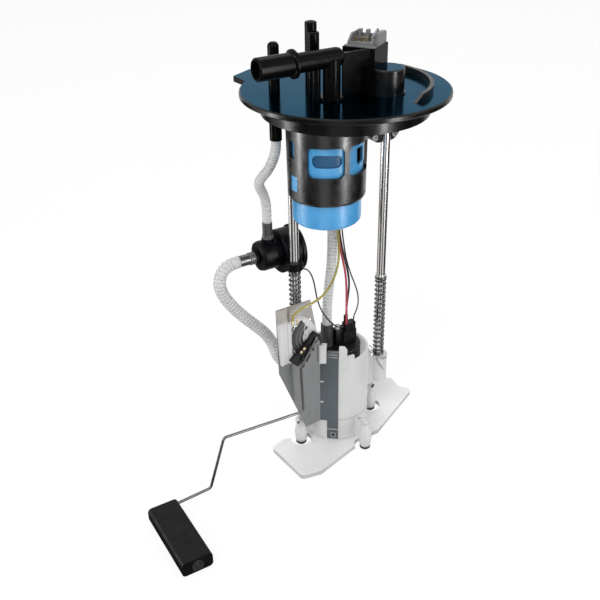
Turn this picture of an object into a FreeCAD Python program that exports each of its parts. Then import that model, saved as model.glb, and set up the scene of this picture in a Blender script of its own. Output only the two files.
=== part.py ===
import FreeCAD, Part

import math
import os

# Fuel pump module that hangs through a hole in the top of a fuel tank.
# Millimetres. The origin is the centre of the flange's sealing face, +Z is up,
# +X runs from the left guide rod to the right one, and the level sender is on the -Y side.

V = FreeCAD.Vector

# Clearances
FIT = 0.05              # between pieces that are pressed or clipped together
RUNNING = 0.06          # radial clearance of a pin or rod that moves in its hole
PASSING = 0.3           # between soft or formed pieces that lie on each other

# Flange
FLANGE_R = 75.0
FLANGE_T = 4.0
FLANGE_EDGE = 1.0
SKIRT_R = 60.6
SKIRT_WALL = 2.5
SKIRT_DEPTH = 12.0
TAB_REACH = 13.2
TAB_TIP_DEG = (112.4, 126.9)
TAB_ROOT_DEG = (101.6, 134.2)
RIM_RIB_R = 61.6
RIM_RIB_T = 2.8
RIM_RIB_H = 4.5
RIM_RIB_DEG = (-74.0, 24.0)
RIM_RIB_RAMP = 9.0

# Guide rods and their sockets
ROD_R = 3.8
ROD_SPACING = 84.5
ROD_MID_X = 9.85
ROD_Y = 21.0
ROD_TOP = -3.0
ROD_LENGTH = {"left": 247.0, "right": 259.0}
SOCKET_R = 5.6
SOCKET_DEPTH = 20.0
PAD_R = 9.0

# Rod bracket on the right rod
BRACKET_LEFT = 15.6
BRACKET_RIGHT = 13.4
BRACKET_FRONT = -0.6
BRACKET_THICK = 9.0
BRACKET_BOTTOM = -51.5
BRACKET_ROUND = 10.0
SCREW_R = 2.6
SCREW_HEAD_T = 1.6
SCREW_DX = (-11.3, 7.2)
SCREW_Z = (-46.5, -46.0)

# Supply tube on top of the flange
TUBE_Y = -17.0
TUBE_Z = 30.7
TUBE_MOUTH_X = -79.0
TUBE_R = 7.6
TUBE_BORE_R = 5.75
BEAD_X = -52.0
BEAD_R = 9.5
BEAD_W = 4.0
TUBE_REAR_R = 6.5
TUBE_END_X = -14.0
COLUMN_X = -23.1
COLUMN_Y = -18.5
COLUMN_R = 6.0
COLUMN_BORE_R = 4.2
COLUMN_FOOT_R = 9.0
COLUMN_FOOT_H = 2.0
DRAIN_X = -33.2
DRAIN_Y = -15.6
DRAIN_R = 2.8

# Nipples on the flange
RETURN_X = -47.2
RETURN_Y = 17.6
RETURN_R = 4.0
RETURN_TOP = 38.0
RETURN_LOWER_R = 4.45
RETURN_BOTTOM = -30.7
VENT_R = 4.15
VENT_BORE_R = 2.2
VENT_SHORT = (-26.6, -0.8, 45.2)
VENT_TALL = (-22.3, 9.4, 49.8)
OUTLET_X = 5.9
OUTLET_Y = 25.0
OUTLET_R = 4.25
OUTLET_BOTTOM = -36.0

# Vent valve drum
DRUM_X = 16.1
DRUM_Y = -27.1
DRUM_R = 12.0
DRUM_TOP = 21.5
DRUM_FOOT_R = 12.9
DRUM_FOOT_H = 1.2

# Electrical connector: a turned square carrier with a bar beside it, and a keyed insert on top
CARRIER_CORNER = (-4.0, -1.9)
CARRIER_TURN = -57.4
CARRIER_W = 24.0
CARRIER_TOP = 33.0
BAR_X = (-13.9, 9.5)
BAR_Y = (-19.2, -16.7)
BAR_H = 6.5
WEB_T_BAR = 1.2
INSERT_INSET = 0.8
INSERT_BASE_T = 0.8
INSERT_WALL = 1.4
SOCKET_X = (2.0, 20.4)
SOCKET_Y = (3.9, 22.9)
SOCKET_FRONT_H = 2.0
SOCKET_BACK_H = 4.4
SOCKET_SIDE_H = 6.5
SOCKET_SIDE_SLOPE = 5.8
POST_X = (3.7, 9.6)
POST_W = 2.2
POST_D = 3.5
POST_H = 7.4
KEY_X = (20.4, 23.2)
KEY_Y = (7.5, 22.5)
KEY_H = 7.8
KEY_ROUND = 3.0
FIN_X = (19.6, 20.8)
FIN_OUTLINE = [(4.5, 5.4), (14.5, 6.0), (14.5, 9.8), (13.3, 10.0), (4.5, 6.2)]
TERMINAL_Y = 11.9
TERMINAL_COUNT = 4
TERMINAL_W = 2.2
TERMINAL_T = 0.8
TERMINAL_H = 4.0

# Filter under the flange
FILTER_X = -23.6
FILTER_Y = -12.9
HOUSING_R_TOP = 28.8
HOUSING_R_BOTTOM = 28.0
HOUSING_INNER_R = 26.3
HOUSING_BOTTOM = -66.0
HOUSING_CHAMFER = 1.6
WINDOW_Z = (-45.0, -23.5)
WINDOW_START_DEG = -150.0
WINDOW_DEG = 54.0
WINDOW_PITCH_DEG = 61.4
WINDOW_COUNT = 5
WINDOW_ROUND = 4.0
SLOT_DEG = (174.0, 186.0)
SLOT_Z = (-34.0, -22.0)
LUG_DEG = (177.0, 191.0)
LUG_Z = (-58.0, -47.0)
CARTRIDGE_R = 25.9
CARTRIDGE_WALL = 2.0
CARTRIDGE_TOP = -12.0
CUP_R = 25.0
CUP_START = -64.0
CUP_BOTTOM = -85.3
CUP_ROUND = 2.5
ELEMENT_R = 22.6
ELEMENT_ROOT_R = 16.5
ELEMENT_BORE_R = 7.0
ELEMENT_PLEATS = 22
ELEMENT_Z = (-79.8, -16.0)
RECESS_DEG = (-145.0, -98.0)
RECESS_Z = (-38.0, -29.0)
RECESS_DEPTH = 1.3
PORT_DEG = (-69.0, -47.0)
PORT_Z = (-39.0, -27.5)

# Pressure regulator, its axis along X
REG_Y = 44.0
REG_Z = -134.2
REG_DRUM_R = 18.0
REG_DRUM_X = (-35.6, -21.0)
REG_RIM_R = 19.4
REG_RIM_T = 3.0
REG_BODY_R = 12.3
REG_BODY_X = -53.3
REG_BODY_ROUND = 3.0
REG_NIPPLE_R = 2.6
REG_TOP_X = -43.2
REG_TOP_Z = -108.0
REG_SIDE_X = -69.0
SLEEVE_IN_R = 4.0
SLEEVE_IN_TOP = -106.4
SLEEVE_OUT_R = 4.6
SLEEVE_OUT_END = -69.8
CLIP_R = 6.8
CLIP_Z = (-140.5, -134.0)
CLIP_ARM_W = 8.0

# Springs on the rods
SPRING_WIRE = 1.0
SPRING_MEAN_R = 4.5
SPRING_TURNS = 19
SPRING_LENGTH = 79.8
SPRING_LEFT_TOP = -140.9
WASHER_R = 4.8
WASHER_T = 1.0
END_CLIP_H = 1.2
BOSS_RIGHT_TOP = -250.5

# Reservoir
TANK_X = 8.0
TANK_Y = 21.0
TANK_R = 27.3
TANK_WALL = 2.0
TANK_RIM = -226.5
TANK_FRONT_RIM = -221.5
FRONT_RIM_HALF_DEG = 40.0
TANK_SEAM = -286.5
TANK_BOTTOM = -309.0
TANK_FLOOR_T = 3.0
BOSS_R = {"left": 5.4, "right": 8.0}
BOSS_DEPTH = 25.8
WEB_T = 2.5
WEB_DEPTH = 28.0
PORT_Y = 36.0
PORT_LEVEL = -236.0
PORT_R = 4.0
PORT_END_X = -28.8
LEG_ORBIT = 40.0
LEG_DEG = (-174.0, -84.0, 6.0, 96.0)
LEG_R = 5.6
LEG_H = 27.0
LEG_ARM_T = 3.0
TIP_T = 3.0
TIP_R = 4.6

# Foot
FLOOR_Z = -313.0
FOOT_T = 4.0
FOOT_ROUND = 3.5
FOOT_LEG_GAP = 3.6
FOOT_INLET_R = 12.0
FOOT_OUTLINE = [
    (-60.0, 19.0), (-56.2, -26.0), (-39.2, -29.0), (9.0, -14.4), (26.1, -9.2), (32.9, -9.1),
    (95.4, 24.0), (88.2, 35.4), (90.8, 51.6), (40.0, 57.0), (14.0, 50.0), (-14.0, 50.0),
    (-22.0, 34.0), (-31.0, 19.0), (-46.0, 23.6),
]

# Pump
PUMP_GAP = 6.3          # between the pump and the reservoir's wall
PUMP_TOP = -226.0
PUMP_BOTTOM = -302.0
CAN_WALL = 1.2
CAP_LIP = 1.2
CAP_TOP = -222.0
CAP_SKIRT = 8.0
OUTLET_NIPPLE_X = -2.2
OUTLET_NIPPLE_R = 3.4
OUTLET_NIPPLE_TOP = -204.0
PUMP_SLEEVE_R = 5.25
PUMP_SLEEVE_TOP = -201.5
PLUG_X = (10.0, 24.3)
PLUG_Y = (14.5, 27.0)
PLUG_STEP_Z = -211.5
PLUG_HEAD_X = (13.0, 23.3)
PLUG_HEAD_Y = (15.0, 21.5)
PLUG_TOP = -204.5
PLUG_TAB_X = (13.2, 16.6)
PLUG_TAB_Y = (17.3, 18.8)
PLUG_TAB_TOP = -196.5
ARMATURE_GAP = 4.8
IMPELLER_GAP = 1.8
IMPELLER_T = 4.0
IMPELLER_BLADES = 16
SHAFT_R = 2.0
ISOLATOR_GAP = 2.3
ISOLATOR_LIP = 4.0
ISOLATOR_TOP = -294.0
STRAINER_T = 2.0
STRAINER_RIM = 3.0
STRAINER_BAR_T = 1.0
STRAINER_PITCH = 3.0
VALVE_R = 8.0
VALVE_T = 0.8
VALVE_STEM_R = 2.0

# Level sender
SHEET_T = 0.8
PLATE_Y = 6.0
LEAF_DEG = -40.0
LEAF_GAP = 0.1
PLATE_EDGE = [(-57.4, -224.1), (-58.5, -164.0), (-27.1, -163.4), (-21.7, -193.6), (-19.9, -203.9)]
PLATE_SHOULDER_Z = -205.0
PLATE_TOE = (-32.7, -288.6)
STRAP_HALF = 4.8
STRAP_TOP = -217.0
STRAP_BOTTOM = -306.5
LEAF_TOP = -212.5
LEAF_BOTTOM = -287.0
HOOK_IN = 3.0
HOOK_DOWN = 9.0
TAB_T = 2.0
TAB_Z = (-226.0, -209.0)
PIVOT_X = -27.1
PIVOT_Z = -193.9
PIVOT_R = 1.15
CARD_T = 3.5
CARD_OUTLINE = [
    (-58.2, -177.1), (-45.4, -177.6), (-44.0, -176.0), (-37.5, -175.5), (-32.4, -177.2),
    (-28.8, -180.7), (-25.4, -186.2), (-22.9, -192.6), (-23.4, -198.0), (-33.0, -205.0),
    (-48.6, -213.6), (-56.6, -214.7),
]
RAIL_T = 0.8
RAIL_X = (-58.0, -50.6)
RAIL_TOP = -177.4
RAIL_BOTTOM = -214.2
RAIL_W = 4.0
RESISTOR_R = (10.0, 20.0)
RESISTOR_DEG = (122.0, 222.0)
RESISTOR_T = 0.6
HOLDER_Y = (-2.3, 1.4)
HOLDER_LENGTH = 28.3
HOLDER_DEG = 225.6
HOLDER_HALF = (3.9, 5.6)

# Float arm
WIRE_R = 1.15
WIRE_Y = -3.5
WIRE_BEND = 3.5
FLOAT_X = -172.2
FLOAT_Z = -306.0
FLOAT_W = 25.0
FLOAT_H = 13.0
FLOAT_Y = (-71.0, -5.0)
FLOAT_ROUND = 3.5
FLOAT_SINK_R = 4.0
FLOAT_SINK_T = 1.5
FLOAT_WASHER_R = 4.8
FLOAT_WASHER_T = 0.8

# Hoses and leads
HOSE_A_D = 7.7
HOSE_B_D = 10.4
HOSE_C_D = 8.5
LEAD_D = 1.8
THIN_LEAD_D = 1.2
LEAD_GLAND_BOTTOM = -8.0

HOSE_A_ROUTE = [
    (-47.2, 17.6, -30.7), (-47.2, 17.6, -37.0), (-48.3, 20.2, -45.6), (-50.7, 24.0, -54.9),
    (-54.3, 28.5, -61.5), (-55.0, 32.5, -66.8), (-52.2, 36.5, -72.9), (-46.6, 41.0, -81.5),
    (-43.6, 43.4, -90.8), (-43.2, 44.0, -99.5), (-43.2, 44.0, -106.4),
]
HOSE_B_ROUTE = [
    (-69.8, 44.0, -134.2), (-76.8, 44.0, -134.2), (-84.4, 44.0, -138.2), (-88.4, 43.7, -147.0),
    (-86.6, 43.2, -157.6), (-80.6, 42.4, -168.6), (-71.9, 41.4, -180.8), (-61.4, 40.2, -192.6),
    (-51.4, 38.9, -203.9), (-45.6, 37.6, -215.2), (-43.2, 36.6, -226.0), (-38.0, 36.0, -236.0),
    (-28.8, 36.0, -236.0),
]
HOSE_C_ROUTE = [
    (5.9, 25.0, -36.0), (5.9, 25.0, -51.0), (5.4, 24.3, -77.0), (5.2, 24.0, -104.0),
    (4.9, 24.0, -128.0), (4.0, 23.5, -146.7), (1.8, 23.0, -161.6), (-0.2, 22.3, -173.9),
    (-1.8, 21.4, -186.5), (-2.2, 21.0, -194.5), (-2.2, 21.0, -201.5),
]
RED_ROUTE = [
    (6.0, 13.0, -8.0), (6.0, 13.0, -27.0), (5.2, 13.9, -53.0), (3.9, 15.2, -82.0),
    (4.4, 16.0, -112.4), (7.6, 17.0, -130.5), (12.2, 18.6, -146.2), (15.3, 19.4, -159.6),
    (15.9, 19.0, -173.0), (15.2, 17.8, -184.4), (14.2, 16.0, -194.6), (14.2, 16.0, -204.5),
]
BLACK_ROUTE = [
    (9.0, 13.0, -8.0), (9.0, 13.0, -27.0), (8.0, 14.4, -53.0), (6.5, 16.6, -82.0),
    (7.0, 18.0, -113.9), (10.8, 19.2, -131.2), (16.0, 21.0, -148.1), (19.9, 22.0, -162.0),
    (20.6, 22.0, -173.4), (18.2, 21.2, -185.6), (16.6, 20.2, -195.0), (16.6, 20.2, -204.5),
]
LOOP_ROUTE = [
    (11.5, 16.0, -8.0), (11.5, 16.0, -27.0), (10.7, 17.6, -53.0), (9.8, 19.8, -82.0),
    (11.4, 21.0, -112.0), (14.8, 22.2, -132.0), (18.6, 23.4, -149.0), (23.6, 24.4, -163.0),
    (28.0, 24.2, -174.0), (30.3, 22.8, -183.5), (29.4, 20.9, -191.6), (25.8, 18.8, -196.8),
    (22.0, 17.0, -199.6), (22.0, 17.0, -204.5),
]
YELLOW_ROUTE = [
    (3.2, 10.0, -8.0), (3.2, 10.0, -27.0), (2.9, 11.4, -53.0), (2.5, 13.0, -82.0),
    (3.5, 14.0, -111.4), (4.4, 13.5, -127.3), (3.4, 12.0, -140.7), (-1.4, 9.6, -150.6),
    (-9.8, 5.2, -157.4), (-20.0, 1.9, -161.9), (-30.4, 0.6, -163.7), (-39.6, 0.4, -165.6),
    (-44.6, 1.2, -168.4), (-46.0, 2.1, -171.4), (-46.0, 2.1, -174.6),
]
GROUND_ROUTE = [
    (-27.38, 16.38, -139.8), (-25.2, 14.4, -139.8), (-22.2, 13.4, -143.8), (-19.9, 13.0, -150.6),
    (-18.3, 12.8, -159.6), (-16.6, 12.8, -169.6), (-13.4, 13.0, -179.4), (-8.4, 13.4, -188.6),
    (-2.4, 14.2, -196.8), (3.4, 15.6, -203.0), (8.4, 17.4, -207.0), (13.0, 17.4, -207.0),
]

# Places that follow from the sizes above
ROD_X = {"left": ROD_MID_X - ROD_SPACING / 2, "right": ROD_MID_X + ROD_SPACING / 2}
ROD_BOTTOM = {side: ROD_TOP - length for side, length in ROD_LENGTH.items()}
BOSS_LEFT_TOP = SPRING_LEFT_TOP - SPRING_LENGTH
SPRING_RIGHT_TOP = BOSS_RIGHT_TOP + SPRING_LENGTH
BOSS_TOP = {"left": BOSS_LEFT_TOP, "right": BOSS_RIGHT_TOP}
FOOT_TOP = FLOOR_Z + FOOT_T
LEG_TOP = FLOOR_Z + TIP_T + LEG_H
CARD_FRONT = PLATE_Y - CARD_T
TANK_INNER_R = TANK_R - TANK_WALL
LEAF_INNER = TANK_R + LEAF_GAP
LEAF_OUTER = LEAF_INNER + SHEET_T
ISOLATOR_R = TANK_INNER_R - ISOLATOR_GAP
PUMP_R = TANK_INNER_R - PUMP_GAP
CAP_R = PUMP_R + CAP_LIP
ARMATURE_R = PUMP_R - CAN_WALL - ARMATURE_GAP
IMPELLER_R = PUMP_R - CAN_WALL - IMPELLER_GAP
STRAINER_R = PUMP_R - ISOLATOR_LIP
LEAF_SIN = math.sin(math.radians(LEAF_DEG))
LEAF_COS = math.cos(math.radians(LEAF_DEG))
LEAF_START = (PLATE_Y + 0.75 * SHEET_T - TANK_Y + LEAF_OUTER * LEAF_COS) / LEAF_SIN
PLATE_BEND = (PLATE_Y - TANK_Y + LEAF_OUTER * LEAF_COS) / LEAF_SIN
PLATE_BEND_X = TANK_X + LEAF_OUTER * LEAF_SIN + PLATE_BEND * LEAF_COS


def cylinder(x, y, z0, z1, r):
    return Part.makeCylinder(r, z1 - z0, V(x, y, z0))


def cylinder_x(y, z, x0, x1, r):
    return Part.makeCylinder(r, x1 - x0, V(x0, y, z), V(1, 0, 0))


def cylinder_y(x, z, y0, y1, r):
    return Part.makeCylinder(r, y1 - y0, V(x, y0, z), V(0, 1, 0))


def tube(x, y, z0, z1, r_out, r_in):
    return cylinder(x, y, z0, z1, r_out).cut(cylinder(x, y, z0, z1, r_in))


def block(x, y, z):
    return Part.makeBox(x[1] - x[0], y[1] - y[0], z[1] - z[0], V(x[0], y[0], z[0]))


def face_of(points):
    return Part.Face(Part.makePolygon(points + points[:1]))


def prism_z(outline, z0, z1):
    return face_of([V(x, y, z0) for x, y in outline]).extrude(V(0, 0, z1 - z0))


def prism_x(outline, x0, x1):
    return face_of([V(x0, y, z) for y, z in outline]).extrude(V(x1 - x0, 0, 0))


def prism_y(outline, y0, y1):
    return face_of([V(x, y0, z) for x, z in outline]).extrude(V(0, y1 - y0, 0))


def revolved(profile, centre, axis=V(0, 0, 1)):
    """Turn a closed profile of (radius, height) pairs about an axis through centre."""
    ring = face_of([V(r, 0, h) for r, h in profile]).revolve(V(0, 0, 0), V(0, 0, 1), 360)
    turned = ring.copy()
    turned.Placement = FreeCAD.Placement(centre, FreeCAD.Rotation(V(0, 0, 1), axis))
    return turned


def sector(x, y, z, r_in, r_out, degrees):
    """Part of a ring between two radii and two angles."""
    start, end = degrees
    outline = face_of([V(x + r_in, y, z[0]), V(x + r_out, y, z[0]),
                       V(x + r_out, y, z[1]), V(x + r_in, y, z[1])])
    outline.rotate(V(x, y, 0), V(0, 0, 1), start)
    return outline.revolve(V(x, y, 0), V(0, 0, 1), end - start)


def edges_along(shape, direction):
    """Straight edges that run along a direction."""
    found = []
    for edge in shape.Edges:
        if isinstance(edge.Curve, Part.Line):
            along = edge.Vertexes[1].Point - edge.Vertexes[0].Point
            if abs(along.dot(direction)) > 0.99 * along.Length:
                found.append(edge)
    return found


def vertical_edges(shape):
    return edges_along(shape, V(0, 0, 1))


def radial_edges(shape, x, y):
    """Straight edges that point at a vertical axis, such as the corners of a window."""
    found = []
    for edge in shape.Edges:
        if isinstance(edge.Curve, Part.Line):
            first = edge.Vertexes[0].Point
            along = edge.Vertexes[1].Point - first
            outward = V(first.x - x, first.y - y, 0)
            if abs(along.dot(outward)) > 0.99 * along.Length * outward.Length:
                found.append(edge)
    return found


def rounded_route(points, name):
    """Straight runs joined by tangent arcs as large as the two runs allow."""
    nodes = [V(*p) for p in points]
    edges = []
    radii = []
    last = nodes[0]
    for before, corner, after in zip(nodes, nodes[1:], nodes[2:]):
        into = before - corner
        out = after - corner
        turn = math.pi - into.getAngle(out)
        trim = 0.45 * min(into.Length, out.Length)
        radii.append(trim / math.tan(turn / 2))
        into.normalize()
        out.normalize()
        start = corner + into * trim
        end = corner + out * trim
        inward = into + out
        inward.normalize()
        middle = corner + inward * (radii[-1] / math.cos(turn / 2) - radii[-1])
        edges.append(Part.LineSegment(last, start).toShape())
        edges.append(Part.Arc(start, middle, end).toShape())
        last = end
    edges.append(Part.LineSegment(last, nodes[-1]).toShape())
    print(name, "bend radii", [round(r, 1) for r in radii])
    return Part.Wire(edges)


def swept(wire, radius, direction):
    """A round bar along a wire that starts in a direction."""
    start = wire.Edges[0].Vertexes[0].Point
    ring = Part.Wire(Part.Circle(start, direction, radius).toShape())
    return wire.makePipeShell([ring], True, False)


def cord(points, diameter, name):
    wire = rounded_route(points, name)
    return swept(wire, diameter / 2, V(*points[1]) - V(*points[0]))


def bent_wire(points, bend, radius):
    """A stiff wire with the same bend at each corner, or its own where bend is a list."""
    nodes = [V(*p) for p in points]
    edges = []
    last = nodes[0]
    bends = bend if isinstance(bend, list) else [bend] * (len(nodes) - 2)
    for before, corner, after, size in zip(nodes, nodes[1:], nodes[2:], bends):
        into = before - corner
        out = after - corner
        turn = math.pi - into.getAngle(out)
        trim = size * math.tan(turn / 2)
        into.normalize()
        out.normalize()
        inward = into + out
        inward.normalize()
        middle = corner + inward * (size / math.cos(turn / 2) - size)
        start = corner + into * trim
        end = corner + out * trim
        edges.append(Part.LineSegment(last, start).toShape())
        edges.append(Part.Arc(start, middle, end).toShape())
        last = end
    edges.append(Part.LineSegment(last, nodes[-1]).toShape())
    return swept(Part.Wire(edges), radius, nodes[1] - nodes[0])


def leaf_point(distance, along):
    """A point beside the reservoir, in the frame of the bracket's second leaf."""
    side = V(LEAF_COS, LEAF_SIN, 0)
    out = V(LEAF_SIN, -LEAF_COS, 0)
    return V(TANK_X, TANK_Y, 0) + out * distance + side * along


def leaf_prism(outline, inner, outer):
    """Extrude an outline of (along, height) pairs between two distances from the axis."""
    face = face_of([leaf_point(inner, s) + V(0, 0, z) for s, z in outline])
    return face.extrude(leaf_point(outer, 0) - leaf_point(inner, 0))


def flange_plate():
    edge = FLANGE_EDGE
    disc = revolved([(0, 0), (FLANGE_R - edge / 2, 0), (FLANGE_R, edge / 2),
                     (FLANGE_R, FLANGE_T - edge), (FLANGE_R - edge, FLANGE_T), (0, FLANGE_T)],
                    V(0, 0, 0))
    skirt = tube(0, 0, -SKIRT_DEPTH, 0, SKIRT_R, SKIRT_R - SKIRT_WALL)
    corners = [(FLANGE_R - edge, TAB_ROOT_DEG[0]), (FLANGE_R + TAB_REACH, TAB_TIP_DEG[0]),
               (FLANGE_R + TAB_REACH, TAB_TIP_DEG[1]), (FLANGE_R - edge, TAB_ROOT_DEG[1])]
    outline = [(r * math.cos(math.radians(a)), r * math.sin(math.radians(a))) for r, a in corners]
    tab = prism_z(outline, 0, FLANGE_T)
    tab = tab.makeFillet(1.5, vertical_edges(tab))
    plate = disc.fuse([skirt, tab, rim_rib()])
    for side, x in ROD_X.items():
        if side == "left":
            socket = cylinder(x, ROD_Y, -SOCKET_DEPTH, 0, SOCKET_R)
        else:
            pad = cylinder(x, ROD_Y, -SKIRT_DEPTH, 0, PAD_R)
            socket = pad.common(cylinder(0, 0, -SKIRT_DEPTH, 0, SKIRT_R))
        plate = plate.fuse(socket)
        plate = plate.cut(cylinder(x, ROD_Y, -SOCKET_DEPTH, ROD_TOP, ROD_R + FIT))
    plate = plate.fuse(cylinder(OUTLET_X, OUTLET_Y, OUTLET_BOTTOM, 0, OUTLET_R))
    plate = plate.fuse(lead_gland())
    plate = plate.cut(cylinder(RETURN_X, RETURN_Y, -1, FLANGE_T + 1, RETURN_R + FIT))
    return plate.removeSplitter()


def rim_rib():
    """Raised rib that carries on the skirt above the flange, with ramps at both ends."""
    top = FLANGE_T + RIM_RIB_H
    inner = RIM_RIB_R - RIM_RIB_T
    rib = sector(0, 0, (FLANGE_T - 1, top), inner, RIM_RIB_R, RIM_RIB_DEG)
    for degrees, side in ((RIM_RIB_DEG[0], 1), (RIM_RIB_DEG[1], -1)):
        ramp = prism_y([(0, FLANGE_T), (side * RIM_RIB_RAMP, top), (side * RIM_RIB_RAMP, top + 1),
                        (-side, top + 1), (-side, FLANGE_T)], -2, RIM_RIB_T + 2)
        ramp.rotate(V(0, 0, 0), V(0, 0, 1), 90)
        ramp.translate(V(RIM_RIB_R, 0, 0))
        ramp.rotate(V(0, 0, 0), V(0, 0, 1), degrees)
        rib = rib.cut(ramp)
    return rib


def lead_gland():
    gland = block((0, 14), (7, 19), (LEAD_GLAND_BOTTOM, 0))
    return gland.makeFillet(2, vertical_edges(gland))


def supply_elbow():
    rear_start = BEAD_X + BEAD_W / 2
    dome = TUBE_REAR_R * 0.7
    profile = [(0, TUBE_MOUTH_X), (TUBE_R - 0.6, TUBE_MOUTH_X), (TUBE_R, TUBE_MOUTH_X + 0.8),
               (TUBE_R, BEAD_X - BEAD_W / 2), (BEAD_R - 0.7, BEAD_X - BEAD_W / 2 + 0.5),
               (BEAD_R, BEAD_X - 0.8), (BEAD_R, BEAD_X + 0.8), (BEAD_R - 0.7, rear_start - 0.5),
               (TUBE_REAR_R, rear_start), (TUBE_REAR_R, TUBE_END_X - dome),
               (TUBE_REAR_R * 0.92, TUBE_END_X - dome * 0.55), (TUBE_REAR_R * 0.7, TUBE_END_X - dome * 0.2),
               (TUBE_REAR_R * 0.4, TUBE_END_X), (0, TUBE_END_X)]
    body = revolved(profile, V(0, TUBE_Y, TUBE_Z), V(1, 0, 0))
    column = cylinder(COLUMN_X, COLUMN_Y, FLANGE_T, TUBE_Z, COLUMN_R)
    foot = cylinder(COLUMN_X, COLUMN_Y, FLANGE_T, FLANGE_T + COLUMN_FOOT_H, COLUMN_FOOT_R)
    drain = cylinder(DRAIN_X, DRAIN_Y, FLANGE_T, TUBE_Z, DRAIN_R)
    elbow = body.fuse([column, foot, drain])
    bore = cylinder_x(TUBE_Y, TUBE_Z, TUBE_MOUTH_X, COLUMN_X, TUBE_BORE_R - 1.2)
    mouth = cylinder_x(TUBE_Y, TUBE_Z, TUBE_MOUTH_X, BEAD_X, TUBE_BORE_R)
    down = cylinder(COLUMN_X, COLUMN_Y, FLANGE_T, TUBE_Z, COLUMN_BORE_R)
    return elbow.cut(bore.fuse([mouth, down])).removeSplitter()


def domed_pin(x, y, z0, z1, r):
    round_h = 0.8 * r
    pin = cylinder(x, y, z0, z1, r)
    top = [edge for edge in pin.Edges if abs(edge.BoundBox.ZMin - z1) < 0.01]
    return pin.makeFillet(round_h, top)


def return_nipple():
    upper = domed_pin(RETURN_X, RETURN_Y, 0, RETURN_TOP, RETURN_R)
    lower = cylinder(RETURN_X, RETURN_Y, RETURN_BOTTOM, 0, RETURN_LOWER_R)
    return upper.fuse(lower).removeSplitter()


def vent_nipple(place):
    x, y, top = place
    nipple = cylinder(x, y, FLANGE_T, top, VENT_R)
    rim = [edge for edge in nipple.Edges if abs(edge.BoundBox.ZMin - top) < 0.01]
    nipple = nipple.makeFillet(1.0, rim)
    return nipple.cut(cylinder(x, y, FLANGE_T, top, VENT_BORE_R))


def vent_valve_cap():
    drum = cylinder(DRUM_X, DRUM_Y, FLANGE_T, DRUM_TOP, DRUM_R)
    rim = [edge for edge in drum.Edges if abs(edge.BoundBox.ZMin - DRUM_TOP) < 0.01]
    drum = drum.makeFillet(1.0, rim)
    foot = cylinder(DRUM_X, DRUM_Y, FLANGE_T, FLANGE_T + DRUM_FOOT_H, DRUM_FOOT_R)
    return drum.fuse(foot).removeSplitter()


def on_carrier(shape):
    """Put a shape that is drawn from the carrier's corner in its place on the flange."""
    placed = shape.copy()
    placed.rotate(V(0, 0, 0), V(0, 0, 1), CARRIER_TURN)
    placed.translate(V(CARRIER_CORNER[0], CARRIER_CORNER[1], 0))
    return placed


def connector_body():
    side = (0, CARRIER_W)
    carrier = on_carrier(block(side, side, (FLANGE_T, CARRIER_TOP)))
    bar = block(BAR_X, BAR_Y, (CARRIER_TOP - BAR_H, CARRIER_TOP))
    web = block(BAR_X, (BAR_Y[1] - WEB_T_BAR, BAR_Y[1]), (FLANGE_T, CARRIER_TOP - BAR_H))
    drum = cylinder(DRUM_X, DRUM_Y, FLANGE_T, DRUM_TOP + FIT, DRUM_R + FIT)
    foot = cylinder(DRUM_X, DRUM_Y, FLANGE_T, FLANGE_T + DRUM_FOOT_H + FIT, DRUM_FOOT_R + FIT)
    return carrier.fuse([bar, web]).cut(drum.fuse(foot)).removeSplitter()


def connector_insert():
    low = CARRIER_TOP + INSERT_BASE_T
    wall = INSERT_WALL
    side = (INSERT_INSET, CARRIER_W - INSERT_INSET)
    base = block(side, side, (CARRIER_TOP, low))
    x0, x1 = SOCKET_X
    y0, y1 = SOCKET_Y
    front = block(SOCKET_X, (y0, y0 + wall), (low, low + SOCKET_FRONT_H))
    back = block(SOCKET_X, (y1 - wall, y1), (low, low + SOCKET_BACK_H))
    slope = [(y0, low), (y1, low), (y1, low + SOCKET_SIDE_H),
             (y0 + SOCKET_SIDE_SLOPE, low + SOCKET_SIDE_H), (y0, low + SOCKET_FRONT_H)]
    ends = [prism_x(slope, x0, x0 + wall), prism_x(slope, x1 - wall, x1)]
    posts = []
    for x in POST_X:
        posts.append(block((x, x + POST_W), (y1 - wall - POST_D, y1 - wall), (low, low + POST_H)))
    key = block(KEY_X, KEY_Y, (low, low + KEY_H))
    corner = [edge for edge in edges_along(key, V(1, 0, 0))
              if edge.BoundBox.ZMin > low + 1 and edge.BoundBox.YMin > KEY_Y[1] - 1]
    key = key.makeFillet(KEY_ROUND, corner)
    fin = prism_x([(y, low + z) for y, z in FIN_OUTLINE], FIN_X[0], FIN_X[1])
    return on_carrier(base.fuse([front, back, key, fin] + ends + posts).removeSplitter())


def connector_terminals():
    low = CARRIER_TOP + INSERT_BASE_T
    start = SOCKET_X[0] + INSERT_WALL
    pitch = (SOCKET_X[1] - INSERT_WALL - start) / TERMINAL_COUNT
    y = (TERMINAL_Y - TERMINAL_T / 2, TERMINAL_Y + TERMINAL_T / 2)
    pins = []
    for n in range(TERMINAL_COUNT):
        x = start + pitch * (n + 0.5)
        pins.append(on_carrier(block((x - TERMINAL_W / 2, x + TERMINAL_W / 2), y, (low, low + TERMINAL_H))))
    return Part.makeCompound(pins)


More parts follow.
